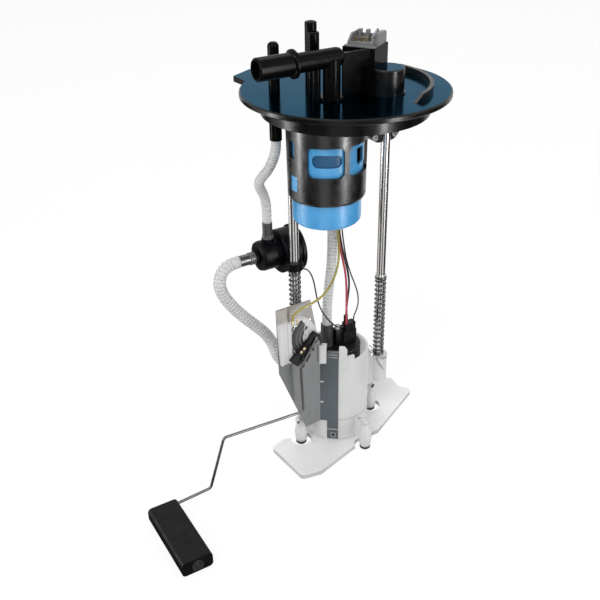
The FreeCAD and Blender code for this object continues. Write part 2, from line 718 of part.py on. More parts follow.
def filter_housing():
    top, low = HOUSING_R_TOP, HOUSING_R_BOTTOM
    wall = revolved([(HOUSING_INNER_R, HOUSING_BOTTOM), (low - HOUSING_CHAMFER * 0.5, HOUSING_BOTTOM),
                     (low, HOUSING_BOTTOM + HOUSING_CHAMFER), (top, -2), (top, 0), (HOUSING_INNER_R, 0)],
                    V(FILTER_X, FILTER_Y, 0))
    cuts = []
    for n in range(WINDOW_COUNT):
        start = WINDOW_START_DEG + n * WINDOW_PITCH_DEG
        window = sector(FILTER_X, FILTER_Y, WINDOW_Z, HOUSING_INNER_R - 2, top + 2,
                        (start, start + WINDOW_DEG))
        cuts.append(window.makeFillet(WINDOW_ROUND, radial_edges(window, FILTER_X, FILTER_Y)))
    cuts.append(sector(FILTER_X, FILTER_Y, SLOT_Z, HOUSING_INNER_R - 2, top + 2, SLOT_DEG))
    around = (LUG_DEG[0] - 0.5, LUG_DEG[1] + 0.5)
    height = (LUG_Z[0] - PASSING, LUG_Z[1] + PASSING)
    cuts.append(sector(FILTER_X, FILTER_Y, height, HOUSING_INNER_R - 2, top + 2, around))
    return wall.cut(cuts)


def filter_cartridge():
    wall = CARTRIDGE_WALL
    outer = [(0, CUP_BOTTOM), (CUP_R - CUP_ROUND, CUP_BOTTOM)]
    for n in range(1, 4):
        turn = math.radians(30 * n)
        outer.append((CUP_R - CUP_ROUND + CUP_ROUND * math.sin(turn),
                      CUP_BOTTOM + CUP_ROUND - CUP_ROUND * math.cos(turn)))
    outer += [(CUP_R, CUP_START), (CARTRIDGE_R, CUP_START + 1), (CARTRIDGE_R, CARTRIDGE_TOP),
              (CARTRIDGE_R - wall, CARTRIDGE_TOP), (CARTRIDGE_R - wall, CUP_START + 1 + wall),
              (CUP_R - wall, CUP_START + wall), (CUP_R - wall, CUP_BOTTOM + CUP_ROUND),
              (CUP_R - CUP_ROUND, CUP_BOTTOM + wall), (0, CUP_BOTTOM + wall)]
    shell = revolved(outer, V(FILTER_X, FILTER_Y, 0))
    lug = sector(FILTER_X, FILTER_Y, LUG_Z, CARTRIDGE_R - 1, HOUSING_R_BOTTOM, LUG_DEG)
    recess = sector(FILTER_X, FILTER_Y, RECESS_Z, CARTRIDGE_R - RECESS_DEPTH, CARTRIDGE_R + 2, RECESS_DEG)
    recess = recess.makeFillet(4.0, radial_edges(recess, FILTER_X, FILTER_Y))
    port = sector(FILTER_X, FILTER_Y, PORT_Z, CARTRIDGE_R - wall - 1, CARTRIDGE_R + 2, PORT_DEG)
    return shell.fuse(lug).cut([recess, port]).removeSplitter()


def filter_element():
    """Pleated paper ring that stands on the cup's floor between two end plates."""
    low, high = ELEMENT_Z
    outline = []
    for n in range(2 * ELEMENT_PLEATS):
        r = ELEMENT_R - 1.2 if n % 2 == 0 else ELEMENT_ROOT_R
        turn = math.pi * n / ELEMENT_PLEATS
        outline.append((FILTER_X + r * math.cos(turn), FILTER_Y + r * math.sin(turn)))
    pleats = prism_z(outline, low, high)
    plates = [cylinder(FILTER_X, FILTER_Y, CUP_BOTTOM + CARTRIDGE_WALL, low, ELEMENT_R - 2.6),
              cylinder(FILTER_X, FILTER_Y, high, high + 2, ELEMENT_R)]
    whole = pleats.fuse(plates)
    return whole.cut(cylinder(FILTER_X, FILTER_Y, low, high + 2, ELEMENT_BORE_R))


def guide_rod(side):
    rod = cylinder(ROD_X[side], ROD_Y, ROD_BOTTOM[side], ROD_TOP, ROD_R)
    ends = [edge for edge in rod.Edges if isinstance(edge.Curve, Part.Circle)]
    return rod.makeChamfer(0.5, ends)


def rod_bracket():
    x = (ROD_X["right"] - BRACKET_LEFT, ROD_X["right"] + BRACKET_RIGHT)
    y = (ROD_Y + BRACKET_FRONT, ROD_Y + BRACKET_FRONT + BRACKET_THICK)
    plate = block(x, y, (BRACKET_BOTTOM, -SKIRT_DEPTH))
    lower = [edge for edge in edges_along(plate, V(0, 1, 0)) if edge.BoundBox.ZMax < BRACKET_BOTTOM + 1]
    plate = plate.makeFillet(BRACKET_ROUND, lower)
    groove = cylinder(ROD_X["right"], ROD_Y, BRACKET_BOTTOM, -SKIRT_DEPTH, ROD_R + FIT)
    holes = []
    for dx, z in zip(SCREW_DX, SCREW_Z):
        holes.append(cylinder_y(ROD_X["right"] + dx, z, y[0], y[0] + 6, SCREW_R * 0.55))
    return plate.cut([groove] + holes)


def bracket_screws():
    front = ROD_Y + BRACKET_FRONT
    screws = []
    for dx, z in zip(SCREW_DX, SCREW_Z):
        x = ROD_X["right"] + dx
        head = cylinder_y(x, z, front - SCREW_HEAD_T, front, SCREW_R)
        socket = cylinder_y(x, z, front - SCREW_HEAD_T, front - SCREW_HEAD_T / 2, SCREW_R * 0.45)
        shank = cylinder_y(x, z, front, front + 6, SCREW_R * 0.55 - FIT)
        screws.append(head.cut(socket).fuse(shank))
    return Part.makeCompound(screws)


def regulator_body():
    x0, x1 = REG_DRUM_X
    profile = [(0, REG_BODY_X), (REG_BODY_R - REG_BODY_ROUND, REG_BODY_X),
               (REG_BODY_R - 0.8, REG_BODY_X + 0.8), (REG_BODY_R, REG_BODY_X + REG_BODY_ROUND),
               (REG_BODY_R, x0), (REG_DRUM_R - 1, x0), (REG_DRUM_R, x0 + 1), (REG_DRUM_R, x1), (0, x1)]
    body = revolved(profile, V(0, REG_Y, REG_Z), V(1, 0, 0))
    inlet = cylinder(REG_TOP_X, REG_Y, REG_Z, REG_TOP_Z, REG_NIPPLE_R)
    outlet = cylinder_x(REG_Y, REG_Z, REG_SIDE_X, REG_BODY_X + 2, REG_NIPPLE_R)
    collar = cylinder(REG_TOP_X, REG_Y, REG_Z, REG_Z + REG_BODY_R + 1.5, 5.2)
    neck = cylinder_x(REG_Y, REG_Z, REG_BODY_X - 2.5, REG_BODY_X + 2, 5.6)
    return body.fuse([inlet, outlet, collar, neck]).removeSplitter()


def regulator_cover():
    x = REG_DRUM_X[1]
    profile = [(0, x), (REG_RIM_R, x), (REG_RIM_R, x + REG_RIM_T), (REG_RIM_R - 3.5, x + REG_RIM_T),
               (REG_RIM_R - 5, x + REG_RIM_T - 1), (6, x + REG_RIM_T - 1), (5, x + REG_RIM_T + 1.5),
               (0, x + REG_RIM_T + 1.5)]
    return revolved(profile, V(0, REG_Y, REG_Z), V(1, 0, 0))


def regulator_clip():
    x = ROD_X["left"]
    collar = cylinder(x, ROD_Y, CLIP_Z[0], CLIP_Z[1], CLIP_R)
    arm = block((REG_DRUM_X[0], REG_DRUM_X[0] + CLIP_ARM_W), (ROD_Y, REG_Y), CLIP_Z)
    clip = collar.fuse(arm)
    drum = cylinder_x(REG_Y, REG_Z, REG_DRUM_X[0] - FIT, REG_DRUM_X[1] + 5, REG_DRUM_R + FIT)
    return clip.cut([drum, cylinder(x, ROD_Y, CLIP_Z[0], CLIP_Z[1], ROD_R + FIT)])


def regulator_inlet_sleeve():
    low = REG_Z + REG_BODY_R + 1.5
    sleeve = cylinder(REG_TOP_X, REG_Y, low, SLEEVE_IN_TOP, SLEEVE_IN_R)
    return sleeve.cut(cylinder(REG_TOP_X, REG_Y, low, REG_TOP_Z, REG_NIPPLE_R + FIT))


def regulator_outlet_sleeve():
    end = REG_BODY_X - 2.5
    sleeve = cylinder_x(REG_Y, REG_Z, SLEEVE_OUT_END, end, SLEEVE_OUT_R)
    return sleeve.cut(cylinder_x(REG_Y, REG_Z, REG_SIDE_X, end, REG_NIPPLE_R + FIT))


def spring(side):
    """Compression spring as one helical sweep of a hexagonal wire."""
    top = SPRING_LEFT_TOP if side == "left" else SPRING_RIGHT_TOP
    height = SPRING_LENGTH - SPRING_WIRE
    low = top - SPRING_LENGTH + SPRING_WIRE / 2
    helix = Part.makeHelix(height / SPRING_TURNS, height, SPRING_MEAN_R)
    corners = []
    for n in range(7):
        turn = math.pi * n / 3 + math.pi / 2
        corners.append(V(SPRING_MEAN_R + SPRING_WIRE / 2 * math.cos(turn), 0,
                         SPRING_WIRE / 2 * math.sin(turn)))
    coil = Part.Wire(helix).makePipeShell([Part.makePolygon(corners)], True, True)
    coil.translate(V(ROD_X[side], ROD_Y, low))
    return coil


def spring_washer_right():
    z = SPRING_RIGHT_TOP
    washer = tube(ROD_X["right"], ROD_Y, z, z + WASHER_T, WASHER_R, ROD_R + FIT)
    return washer


def rod_boss(side):
    """Guide boss beside the reservoir, with the webs that join it to the wall."""
    x = ROD_X[side]
    top = BOSS_TOP[side]
    low = top - BOSS_DEPTH
    r = BOSS_R[side]
    boss = cylinder(x, ROD_Y, low, top, r)
    wall_x = TANK_X + (TANK_R - 0.5 if side == "right" else 0.5 - TANK_R)
    edge_x = x + (1 - r if side == "right" else r - 1)
    high = TANK_RIM - 2
    outline = [(wall_x, high), (edge_x, top - 1), (edge_x, low + 1), (wall_x, high - WEB_DEPTH)]
    if side == "right":
        outline = [(wall_x, high), (edge_x, top - 1), (edge_x, low), (wall_x, low - 3)]
    webs = []
    for dy in (-2.6, 2.6):
        webs.append(prism_y(outline, ROD_Y + dy - WEB_T / 2, ROD_Y + dy + WEB_T / 2))
    return boss.fuse(webs)


def reservoir_cup():
    wall = tube(TANK_X, TANK_Y, TANK_SEAM, TANK_RIM, TANK_R, TANK_INNER_R)
    front = (270 + LEAF_DEG - FRONT_RIM_HALF_DEG, 270 + LEAF_DEG + FRONT_RIM_HALF_DEG)
    raised = sector(TANK_X, TANK_Y, (TANK_RIM, TANK_FRONT_RIM), TANK_INNER_R, TANK_R, front)
    cup = wall.fuse([raised] + [rod_boss(side) for side in ROD_X] + hook_tabs() + [hose_port()])
    holes = [cylinder(x, ROD_Y, FLOOR_Z, -200, ROD_R + RUNNING) for x in ROD_X.values()]
    holes.append(cylinder(TANK_X, TANK_Y, TANK_SEAM, TANK_RIM, TANK_INNER_R))
    return cup.cut(holes).removeSplitter()


def hook_tabs():
    """Two raised tabs of the rim: one hooks over the bracket's edge, one stands beside it."""
    low, high = TAB_Z
    near, far = LEAF_START + 2, LEAF_START + 6
    front = LEAF_OUTER + FIT
    corner = (PLATE_Y - FIT - leaf_point(front, 0).y) / LEAF_SIN
    outline = [leaf_point(front, far), leaf_point(front + TAB_T, far),
               V(PLATE_BEND_X - TAB_T, PLATE_Y - FIT - TAB_T, 0),
               V(PLATE_BEND_X - TAB_T, PLATE_Y - FIT, 0), leaf_point(front, corner)]
    lip = prism_z([(p.x, p.y) for p in outline], low, high)
    riser = leaf_prism([(near, TANK_FRONT_RIM - 2), (far, TANK_FRONT_RIM - 2), (far, high), (near, high)],
                       TANK_R - TANK_WALL, TANK_R)
    bridge = leaf_prism([(near, high - 2.5), (far, high - 2.5), (far, high), (near, high)],
                        TANK_R - TANK_WALL, front + TAB_T)
    post = leaf_prism([(5.2, TANK_RIM - 6), (11.7, TANK_RIM - 6), (11.7, -215), (9.5, -212), (5.2, -212)],
                      TANK_R - TANK_WALL - 2, TANK_R)
    return [lip, riser, bridge, post]


def hose_port():
    wall_x = TANK_X - math.sqrt(TANK_R ** 2 - (PORT_Y - TANK_Y) ** 2)
    return cylinder_x(PORT_Y, PORT_LEVEL, PORT_END_X, wall_x + 1.5, PORT_R)


def leg_places():
    places = []
    for degrees in LEG_DEG:
        turn = math.radians(degrees)
        places.append((TANK_X + LEG_ORBIT * math.cos(turn), TANK_Y + LEG_ORBIT * math.sin(turn)))
    return places


def leg(x, y):
    """Bulb-shaped leg."""
    tip = FLOOR_Z + TIP_T
    return revolved([(0, tip), (TIP_R - 0.4, tip), (TIP_R + 0.5, tip + 3), (LEG_R, tip + 9),
                     (LEG_R - 0.6, tip + 14), (LEG_R - 2.2, tip + 20), (2.4, LEG_TOP), (0, LEG_TOP)],
                    V(x, y, 0))


def leg_arm(degrees):
    """Rib from the reservoir's wall to a leg."""
    inner = TANK_R - 1
    outline = [(inner, TANK_SEAM - 1), (LEG_ORBIT - 1, LEG_TOP - 2),
               (LEG_ORBIT - 1, TANK_BOTTOM + 5), (inner, TANK_BOTTOM + 3)]
    arm = prism_y(outline, -LEG_ARM_T / 2, LEG_ARM_T / 2)
    arm.rotate(V(0, 0, 0), V(0, 0, 1), degrees)
    arm.translate(V(TANK_X, TANK_Y, 0))
    return arm


def reservoir_base():
    shell = revolved([(0, TANK_BOTTOM), (TANK_R - 1.5, TANK_BOTTOM), (TANK_R, TANK_BOTTOM + 1.5),
                      (TANK_R, TANK_SEAM), (TANK_INNER_R, TANK_SEAM),
                      (TANK_INNER_R, TANK_BOTTOM + TANK_FLOOR_T), (0, TANK_BOTTOM + TANK_FLOOR_T)],
                     V(TANK_X, TANK_Y, 0))
    limbs = [leg(x, y) for x, y in leg_places()] + [leg_arm(degrees) for degrees in LEG_DEG]
    hole = cylinder(TANK_X, TANK_Y, TANK_BOTTOM, TANK_BOTTOM + TANK_FLOOR_T, VALVE_STEM_R + FIT)
    room = cylinder(TANK_X, TANK_Y, TANK_BOTTOM + TANK_FLOOR_T, TANK_SEAM, TANK_INNER_R)
    return shell.fuse(limbs).cut([hole, room]).removeSplitter()


def foot_plate():
    plate = prism_z(FOOT_OUTLINE, FLOOR_Z, FOOT_TOP)
    cuts = [cylinder(x, y, FLOOR_Z, FOOT_TOP, LEG_R + FOOT_LEG_GAP) for x, y in leg_places()]
    cuts.append(cylinder(TANK_X, TANK_Y, FLOOR_Z, FOOT_TOP, FOOT_INLET_R))
    rounded = plate.makeFillet(FOOT_ROUND, vertical_edges(plate))
    return rounded.cut(cuts)


def foot_tips():
    tips = []
    for x, y in leg_places():
        tips.append(revolved([(0, FLOOR_Z), (TIP_R - 1.2, FLOOR_Z), (TIP_R, FLOOR_Z + 1.2),
                              (TIP_R, FLOOR_Z + TIP_T), (0, FLOOR_Z + TIP_T)], V(x, y, 0)))
    return Part.makeCompound(tips)


def pump_can():
    inner = PUMP_R - CAN_WALL
    shell = cylinder(TANK_X, TANK_Y, PUMP_BOTTOM, PUMP_TOP, PUMP_R)
    room = cylinder(TANK_X, TANK_Y, PUMP_BOTTOM + 3, PUMP_TOP, inner)
    bearing = cylinder(TANK_X, TANK_Y, PUMP_BOTTOM + 1.5, PUMP_TOP, SHAFT_R + RUNNING)
    return shell.cut([room, bearing])


def pump_cap():
    low = CAP_TOP - CAP_SKIRT - (CAP_TOP - PUMP_TOP)
    ring = tube(TANK_X, TANK_Y, low, PUMP_TOP, CAP_R, PUMP_R + FIT)
    lid = cylinder(TANK_X, TANK_Y, PUMP_TOP, CAP_TOP, CAP_R)
    rim = [edge for edge in lid.Edges if abs(edge.BoundBox.ZMin - CAP_TOP) < 0.01]
    lid = lid.makeChamfer(1.0, rim)
    nipple = cylinder(OUTLET_NIPPLE_X, TANK_Y, CAP_TOP, OUTLET_NIPPLE_TOP, OUTLET_NIPPLE_R)
    bearing = cylinder(TANK_X, TANK_Y, PUMP_TOP, PUMP_TOP + 2, SHAFT_R + RUNNING)
    return ring.fuse([lid, nipple]).cut(bearing).removeSplitter()


def pump_connector():
    """Stepped plug on the pump's cap with a latch tab."""
    foot = block(PLUG_X, PLUG_Y, (CAP_TOP, PLUG_STEP_Z))
    foot = foot.makeFillet(1.5, vertical_edges(foot))
    head = block(PLUG_HEAD_X, PLUG_HEAD_Y, (PLUG_STEP_Z, PLUG_TOP))
    head = head.makeFillet(0.8, vertical_edges(head))
    tab = block(PLUG_TAB_X, PLUG_TAB_Y, (PLUG_TOP, PLUG_TAB_TOP))
    return foot.fuse([head, tab]).removeSplitter()


def pump_outlet_sleeve():
    sleeve = cylinder(OUTLET_NIPPLE_X, TANK_Y, CAP_TOP, PUMP_SLEEVE_TOP, PUMP_SLEEVE_R)
    bore = cylinder(OUTLET_NIPPLE_X, TANK_Y, CAP_TOP, OUTLET_NIPPLE_TOP + FIT, OUTLET_NIPPLE_R + FIT)
    return sleeve.cut(bore)


def pump_armature():
    low = PUMP_BOTTOM + 14
    high = PUMP_TOP - 12
    core = cylinder(TANK_X, TANK_Y, low, high, ARMATURE_R)
    shaft = cylinder(TANK_X, TANK_Y, PUMP_BOTTOM + 2, PUMP_TOP + 1.5, SHAFT_R)
    commutator = cylinder(TANK_X, TANK_Y, high, high + 6, ARMATURE_R * 0.6)
    slots = []
    for n in range(8):
        slot = block((ARMATURE_R - 3, ARMATURE_R + 1), (-0.8, 0.8), (low, high))
        slot.rotate(V(0, 0, 0), V(0, 0, 1), 45 * n)
        slot.translate(V(TANK_X, TANK_Y, 0))
        slots.append(slot)
    return core.cut(slots).fuse([shaft, commutator]).removeSplitter()


def pump_impeller():
    low = PUMP_BOTTOM + 5
    hub = tube(TANK_X, TANK_Y, low, low + IMPELLER_T, IMPELLER_R - 3, SHAFT_R + FIT)
    blades = []
    for n in range(IMPELLER_BLADES):
        blade = block((IMPELLER_R - 4, IMPELLER_R), (-0.6, 0.6), (low, low + IMPELLER_T))
        blade.rotate(V(0, 0, 0), V(0, 0, 1), 360 * n / IMPELLER_BLADES)
        blade.translate(V(TANK_X, TANK_Y, 0))
        blades.append(blade)
    return hub.fuse(blades).removeSplitter()


def pump_isolator():
    floor = TANK_BOTTOM + TANK_FLOOR_T
    return revolved([(STRAINER_R, floor), (ISOLATOR_R, floor), (ISOLATOR_R, ISOLATOR_TOP),
                     (PUMP_R + FIT, ISOLATOR_TOP), (PUMP_R + FIT, PUMP_BOTTOM), (STRAINER_R, PUMP_BOTTOM)],
                    V(TANK_X, TANK_Y, 0))


def inlet_strainer():
    low = PUMP_BOTTOM - STRAINER_T
    rim = tube(TANK_X, TANK_Y, low, PUMP_BOTTOM, STRAINER_R - FIT, STRAINER_R - STRAINER_RIM)
    bars = []
    for n in range(-3, 4):
        side = TANK_Y + n * STRAINER_PITCH - STRAINER_BAR_T / 2
        bars.append(block((TANK_X - PUMP_R, TANK_X + PUMP_R), (side, side + STRAINER_BAR_T),
                          (low, low + STRAINER_BAR_T)))
    disc = cylinder(TANK_X, TANK_Y, low, PUMP_BOTTOM, STRAINER_R - STRAINER_RIM + 1)
    return rim.fuse([bar.common(disc) for bar in bars]).removeSplitter()


def check_valve():
    floor = TANK_BOTTOM + TANK_FLOOR_T
    disc = cylinder(TANK_X, TANK_Y, floor, floor + VALVE_T, VALVE_R)
    stem = cylinder(TANK_X, TANK_Y, TANK_BOTTOM - 1.5, floor, VALVE_STEM_R)
    return disc.fuse(stem).removeSplitter()


def spring_end_clip():
    """Thin steel clip on the right boss that takes the end of the ground lead."""
    x = ROD_X["right"]
    r = BOSS_R["right"]
    low = BOSS_RIGHT_TOP - END_CLIP_H
    band = tube(x, ROD_Y, low, BOSS_RIGHT_TOP, r + 0.5, r + FIT)
    return band.cut(block((x - 2 * r, x), (ROD_Y - 4, ROD_Y + 4), (low, BOSS_RIGHT_TOP)))


def sender_bracket():
    bend_x = PLATE_BEND_X - SHEET_T / 2
    bend = [(bend_x, PLATE_SHOULDER_Z), (bend_x, LEAF_BOTTOM), PLATE_TOE]
    plate = prism_y(PLATE_EDGE + bend, PLATE_Y, PLATE_Y + SHEET_T)
    plate = plate.cut(cylinder_y(-27.8, -181.7, PLATE_Y, PLATE_Y + SHEET_T, 1.5))
    half = STRAP_HALF
    sheet = leaf_prism([(LEAF_START, PLATE_SHOULDER_Z), (LEAF_START + 2, LEAF_TOP), (-half, LEAF_TOP),
                        (-half, STRAP_TOP), (half, STRAP_TOP), (half, STRAP_BOTTOM),
                        (-half, STRAP_BOTTOM), (-half, LEAF_BOTTOM), (LEAF_START, LEAF_BOTTOM)],
                       LEAF_INNER, LEAF_OUTER)
    back = LEAF_INNER - HOOK_IN
    over = leaf_prism([(-half, STRAP_TOP - SHEET_T), (half, STRAP_TOP - SHEET_T),
                       (half, STRAP_TOP), (-half, STRAP_TOP)], back - SHEET_T, LEAF_OUTER)
    down = leaf_prism([(-half, STRAP_TOP - HOOK_DOWN), (half, STRAP_TOP - HOOK_DOWN),
                       (half, STRAP_TOP), (-half, STRAP_TOP)], back - SHEET_T, back)
    whole = plate.fuse([sheet, over, down])
    return whole.cut(cylinder_y(PIVOT_X, PIVOT_Z, PLATE_Y - 1, PLATE_Y + 2, PIVOT_R + 0.3)).removeSplitter()


def sender_card():
    card = prism_y(CARD_OUTLINE, CARD_FRONT, PLATE_Y)
    rails = []
    for x in RAIL_X:
        rails.append(prism_y([(x, RAIL_TOP), (x + RAIL_W * 0.7, RAIL_TOP - 0.1),
                              (x + RAIL_W * 0.7 + 0.8, RAIL_BOTTOM + 0.6), (x + 1.4, RAIL_BOTTOM)],
                             CARD_FRONT - RAIL_T, CARD_FRONT))
    whole = card.fuse(rails)
    return whole.cut(cylinder_y(PIVOT_X, PIVOT_Z, CARD_FRONT - 3, PLATE_Y, PIVOT_R + RUNNING)).removeSplitter()


def resistor_plate():
    plate = sector(0, 0, (0, RESISTOR_T), RESISTOR_R[0], RESISTOR_R[1], RESISTOR_DEG)
    plate.rotate(V(0, 0, 0), V(1, 0, 0), 90)
    plate.translate(V(PIVOT_X, CARD_FRONT, PIVOT_Z))
    return plate


def sender_terminals():
    pins = []
    for x in (-46.6, -42.4):
        pins.append(block((x, x + 1.2), (CARD_FRONT - TERMINAL_T, CARD_FRONT), (-179.0, -174.6)))
    return Part.makeCompound(pins)


def wiper_holder():
    """Moulded arm that carries the wire and turns on the card."""
    near, far = HOLDER_HALF
    length = HOLDER_LENGTH
    body = prism_y([(-3.0, -near), (length * 0.35, -near), (length, -far), (length, far * 0.65),
                    (length * 0.6, near), (-3.0, near)], HOLDER_Y[0], HOLDER_Y[1])
    body = body.makeFillet(1.0, edges_along(body, V(0, 1, 0)))
    body.rotate(V(0, 0, 0), V(0, 1, 0), -HOLDER_DEG)
    body.translate(V(PIVOT_X, 0, PIVOT_Z))
    return body.cut(cylinder_y(PIVOT_X, PIVOT_Z, HOLDER_Y[0], HOLDER_Y[1], PIVOT_R + FIT))


def float_arm_wire():
    y = WIRE_Y
    route = [(PIVOT_X, PLATE_Y - 0.5, PIVOT_Z), (PIVOT_X, y, PIVOT_Z), (-42.5, y, -217.1),
             (-40.9, y, -262.3), (-114.7, y, -258.8), (-129.7, y, -304.5), (-158.6, y, FLOAT_Z - 0.5),
             (FLOAT_X, y, FLOAT_Z), (FLOAT_X, FLOAT_Y[0] - FLOAT_WASHER_T - 1.2, FLOAT_Z)]
    bends = [1.4, WIRE_BEND, WIRE_BEND, WIRE_BEND, WIRE_BEND, WIRE_BEND * 4, 1.5]
    return bent_wire(route, bends, WIRE_R)


def contact_rivets():
    rivets = []
    for along, across in ((13.0, -3.2), (16.6, -3.6)):
        turn = math.radians(HOLDER_DEG)
        x = PIVOT_X + along * math.cos(turn) - across * math.sin(turn)
        z = PIVOT_Z + along * math.sin(turn) + across * math.cos(turn)
        rivets.append(cylinder_y(x, z, HOLDER_Y[0] - 0.5, HOLDER_Y[0], 1.2))
    return Part.makeCompound(rivets)


def float_body():
    half_w, half_h = FLOAT_W / 2, FLOAT_H / 2
    body = block((FLOAT_X - half_w, FLOAT_X + half_w), FLOAT_Y, (FLOAT_Z - half_h, FLOAT_Z + half_h))
    body = body.makeFillet(FLOAT_ROUND, edges_along(body, V(0, 1, 0)))
    bore = cylinder_y(FLOAT_X, FLOAT_Z, FLOAT_Y[0], FLOAT_Y[1], WIRE_R + RUNNING)
    sink = cylinder_y(FLOAT_X, FLOAT_Z, FLOAT_Y[1] - FLOAT_SINK_T, FLOAT_Y[1], FLOAT_SINK_R)
    return body.cut([bore, sink])


def float_washer():
    y = FLOAT_Y[0] - PASSING
    disc = cylinder_y(FLOAT_X, FLOAT_Z, y - FLOAT_WASHER_T, y, FLOAT_WASHER_R)
    return disc.cut(cylinder_y(FLOAT_X, FLOAT_Z, y - FLOAT_WASHER_T, y, WIRE_R + FIT))


def make_nodes():
    return {
        "flange_plate": flange_plate(),
        "supply_elbow": supply_elbow(),
        "return_nipple": return_nipple(),
        "vent_nipple_short": vent_nipple(VENT_SHORT),
        "vent_nipple_tall": vent_nipple(VENT_TALL),
        "vent_valve_cap": vent_valve_cap(),
        "connector_body": connector_body(),
        "connector_insert": connector_insert(),
        "connector_terminals": connector_terminals(),
        "filter_housing": filter_housing(),
        "filter_cartridge": filter_cartridge(),
        "filter_element": filter_element(),
        "guide_rod_left": guide_rod("left"),
        "guide_rod_right": guide_rod("right"),
        "rod_bracket": rod_bracket(),
        "bracket_screws": bracket_screws(),
        "regulator_body": regulator_body(),
        "regulator_cover": regulator_cover(),
        "regulator_clip": regulator_clip(),
        "regulator_inlet_sleeve": regulator_inlet_sleeve(),
        "regulator_outlet_sleeve": regulator_outlet_sleeve(),
        "spring_left": spring("left"),
        "spring_right": spring("right"),
        "spring_washer_right": spring_washer_right(),
        "hose_a": cord(HOSE_A_ROUTE, HOSE_A_D, "hose_a"),
        "hose_b": cord(HOSE_B_ROUTE, HOSE_B_D, "hose_b"),
        "hose_c": cord(HOSE_C_ROUTE, HOSE_C_D, "hose_c"),
        "wire_red": cord(RED_ROUTE, LEAD_D, "wire_red"),
        "wire_black": cord(BLACK_ROUTE, LEAD_D, "wire_black"),
        "wire_loop": cord(LOOP_ROUTE, THIN_LEAD_D, "wire_loop"),
        "wire_yellow": cord(YELLOW_ROUTE, LEAD_D, "wire_yellow"),
        "wire_ground": cord(GROUND_ROUTE, THIN_LEAD_D, "wire_ground"),
        "reservoir_cup": reservoir_cup(),
        "reservoir_base": reservoir_base(),
        "foot_plate": foot_plate(),
        "foot_tips": foot_tips(),
        "pump_can": pump_can(),
        "pump_cap": pump_cap(),
        "pump_connector": pump_connector(),
        "pump_outlet_sleeve": pump_outlet_sleeve(),
        "pump_armature": pump_armature(),
        "pump_impeller": pump_impeller(),
        "pump_isolator": pump_isolator(),
        "inlet_strainer": inlet_strainer(),
        "check_valve": check_valve(),
        "spring_end_clip": spring_end_clip(),
        "sender_bracket": sender_bracket(),
        "sender_card": sender_card(),
        "resistor_plate": resistor_plate(),
        "sender_terminals": sender_terminals(),
        "wiper_holder": wiper_holder(),
        "contact_rivets": contact_rivets(),
        "float_arm_wire": float_arm_wire(),
        "float_washer": float_washer(),
        "float": float_body(),
    }


os.makedirs("parts", exist_ok=True)
for name, shape in make_nodes().items():
    print(name, "solids", len(shape.Solids), "valid", shape.isValid(), "volume", round(shape.Volume, 1))
    shape.exportStep("parts/" + name + ".step")
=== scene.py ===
"""Looks of an in-tank fuel pump module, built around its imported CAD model.

Lengths are metres unless a line says millimetres. The origin is the centre of the flange's sealing
face, +Z is up, +X runs from the left guide rod to the right one, and the level sender is on the -Y side.
"""

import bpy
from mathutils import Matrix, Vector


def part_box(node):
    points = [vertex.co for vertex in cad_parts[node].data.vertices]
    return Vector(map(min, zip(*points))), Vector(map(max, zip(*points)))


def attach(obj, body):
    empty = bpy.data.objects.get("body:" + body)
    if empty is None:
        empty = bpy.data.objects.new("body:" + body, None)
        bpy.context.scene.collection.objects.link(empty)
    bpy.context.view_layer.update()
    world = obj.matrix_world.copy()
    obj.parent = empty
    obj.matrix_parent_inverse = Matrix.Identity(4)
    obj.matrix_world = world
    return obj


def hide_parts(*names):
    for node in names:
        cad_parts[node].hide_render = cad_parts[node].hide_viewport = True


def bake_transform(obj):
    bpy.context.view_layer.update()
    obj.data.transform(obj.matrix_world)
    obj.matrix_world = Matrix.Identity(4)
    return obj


bl_info = {
    "name": "Fuel pump module",
    "version": (1, 0, 0),
    "blender": (4, 5, 0),
    "location": "View3D > Sidebar > Pump module",
    "description": "Dresses the packed fuel pump module with hoses, leads, springs and finishes",
    "category": "Object",
}

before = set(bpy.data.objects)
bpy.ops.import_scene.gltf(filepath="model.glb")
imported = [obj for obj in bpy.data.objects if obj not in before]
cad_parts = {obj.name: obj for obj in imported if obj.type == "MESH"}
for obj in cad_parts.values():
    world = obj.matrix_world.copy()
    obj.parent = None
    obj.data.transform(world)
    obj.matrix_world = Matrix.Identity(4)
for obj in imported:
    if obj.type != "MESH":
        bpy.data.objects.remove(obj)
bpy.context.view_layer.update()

import math

import bmesh
import bpy
from bpy.props import FloatProperty, FloatVectorProperty, IntProperty, PointerProperty
from mathutils import Matrix, Vector

MM = 0.001

# Routes of the hoses and leads, the same points as the CAD model's, in metres.
HOSE_A_ROUTE = [
    (-0.0472, 0.0176, -0.0307), (-0.0472, 0.0176, -0.0370), (-0.0483, 0.0202, -0.0456),
    (-0.0507, 0.0240, -0.0549), (-0.0543, 0.0285, -0.0615), (-0.0550, 0.0325, -0.0668),
    (-0.0522, 0.0365, -0.0729), (-0.0466, 0.0410, -0.0815), (-0.0436, 0.0434, -0.0908),
    (-0.0432, 0.0440, -0.0995), (-0.0432, 0.0440, -0.1064),
]
HOSE_B_ROUTE = [
    (-0.0698, 0.0440, -0.1342), (-0.0768, 0.0440, -0.1342), (-0.0844, 0.0440, -0.1382),
    (-0.0884, 0.0437, -0.1470), (-0.0866, 0.0432, -0.1576), (-0.0806, 0.0424, -0.1686),
    (-0.0719, 0.0414, -0.1808), (-0.0614, 0.0402, -0.1926), (-0.0514, 0.0389, -0.2039),
    (-0.0456, 0.0376, -0.2152), (-0.0432, 0.0366, -0.2260), (-0.0380, 0.0360, -0.2360),
    (-0.0288, 0.0360, -0.2360),
]
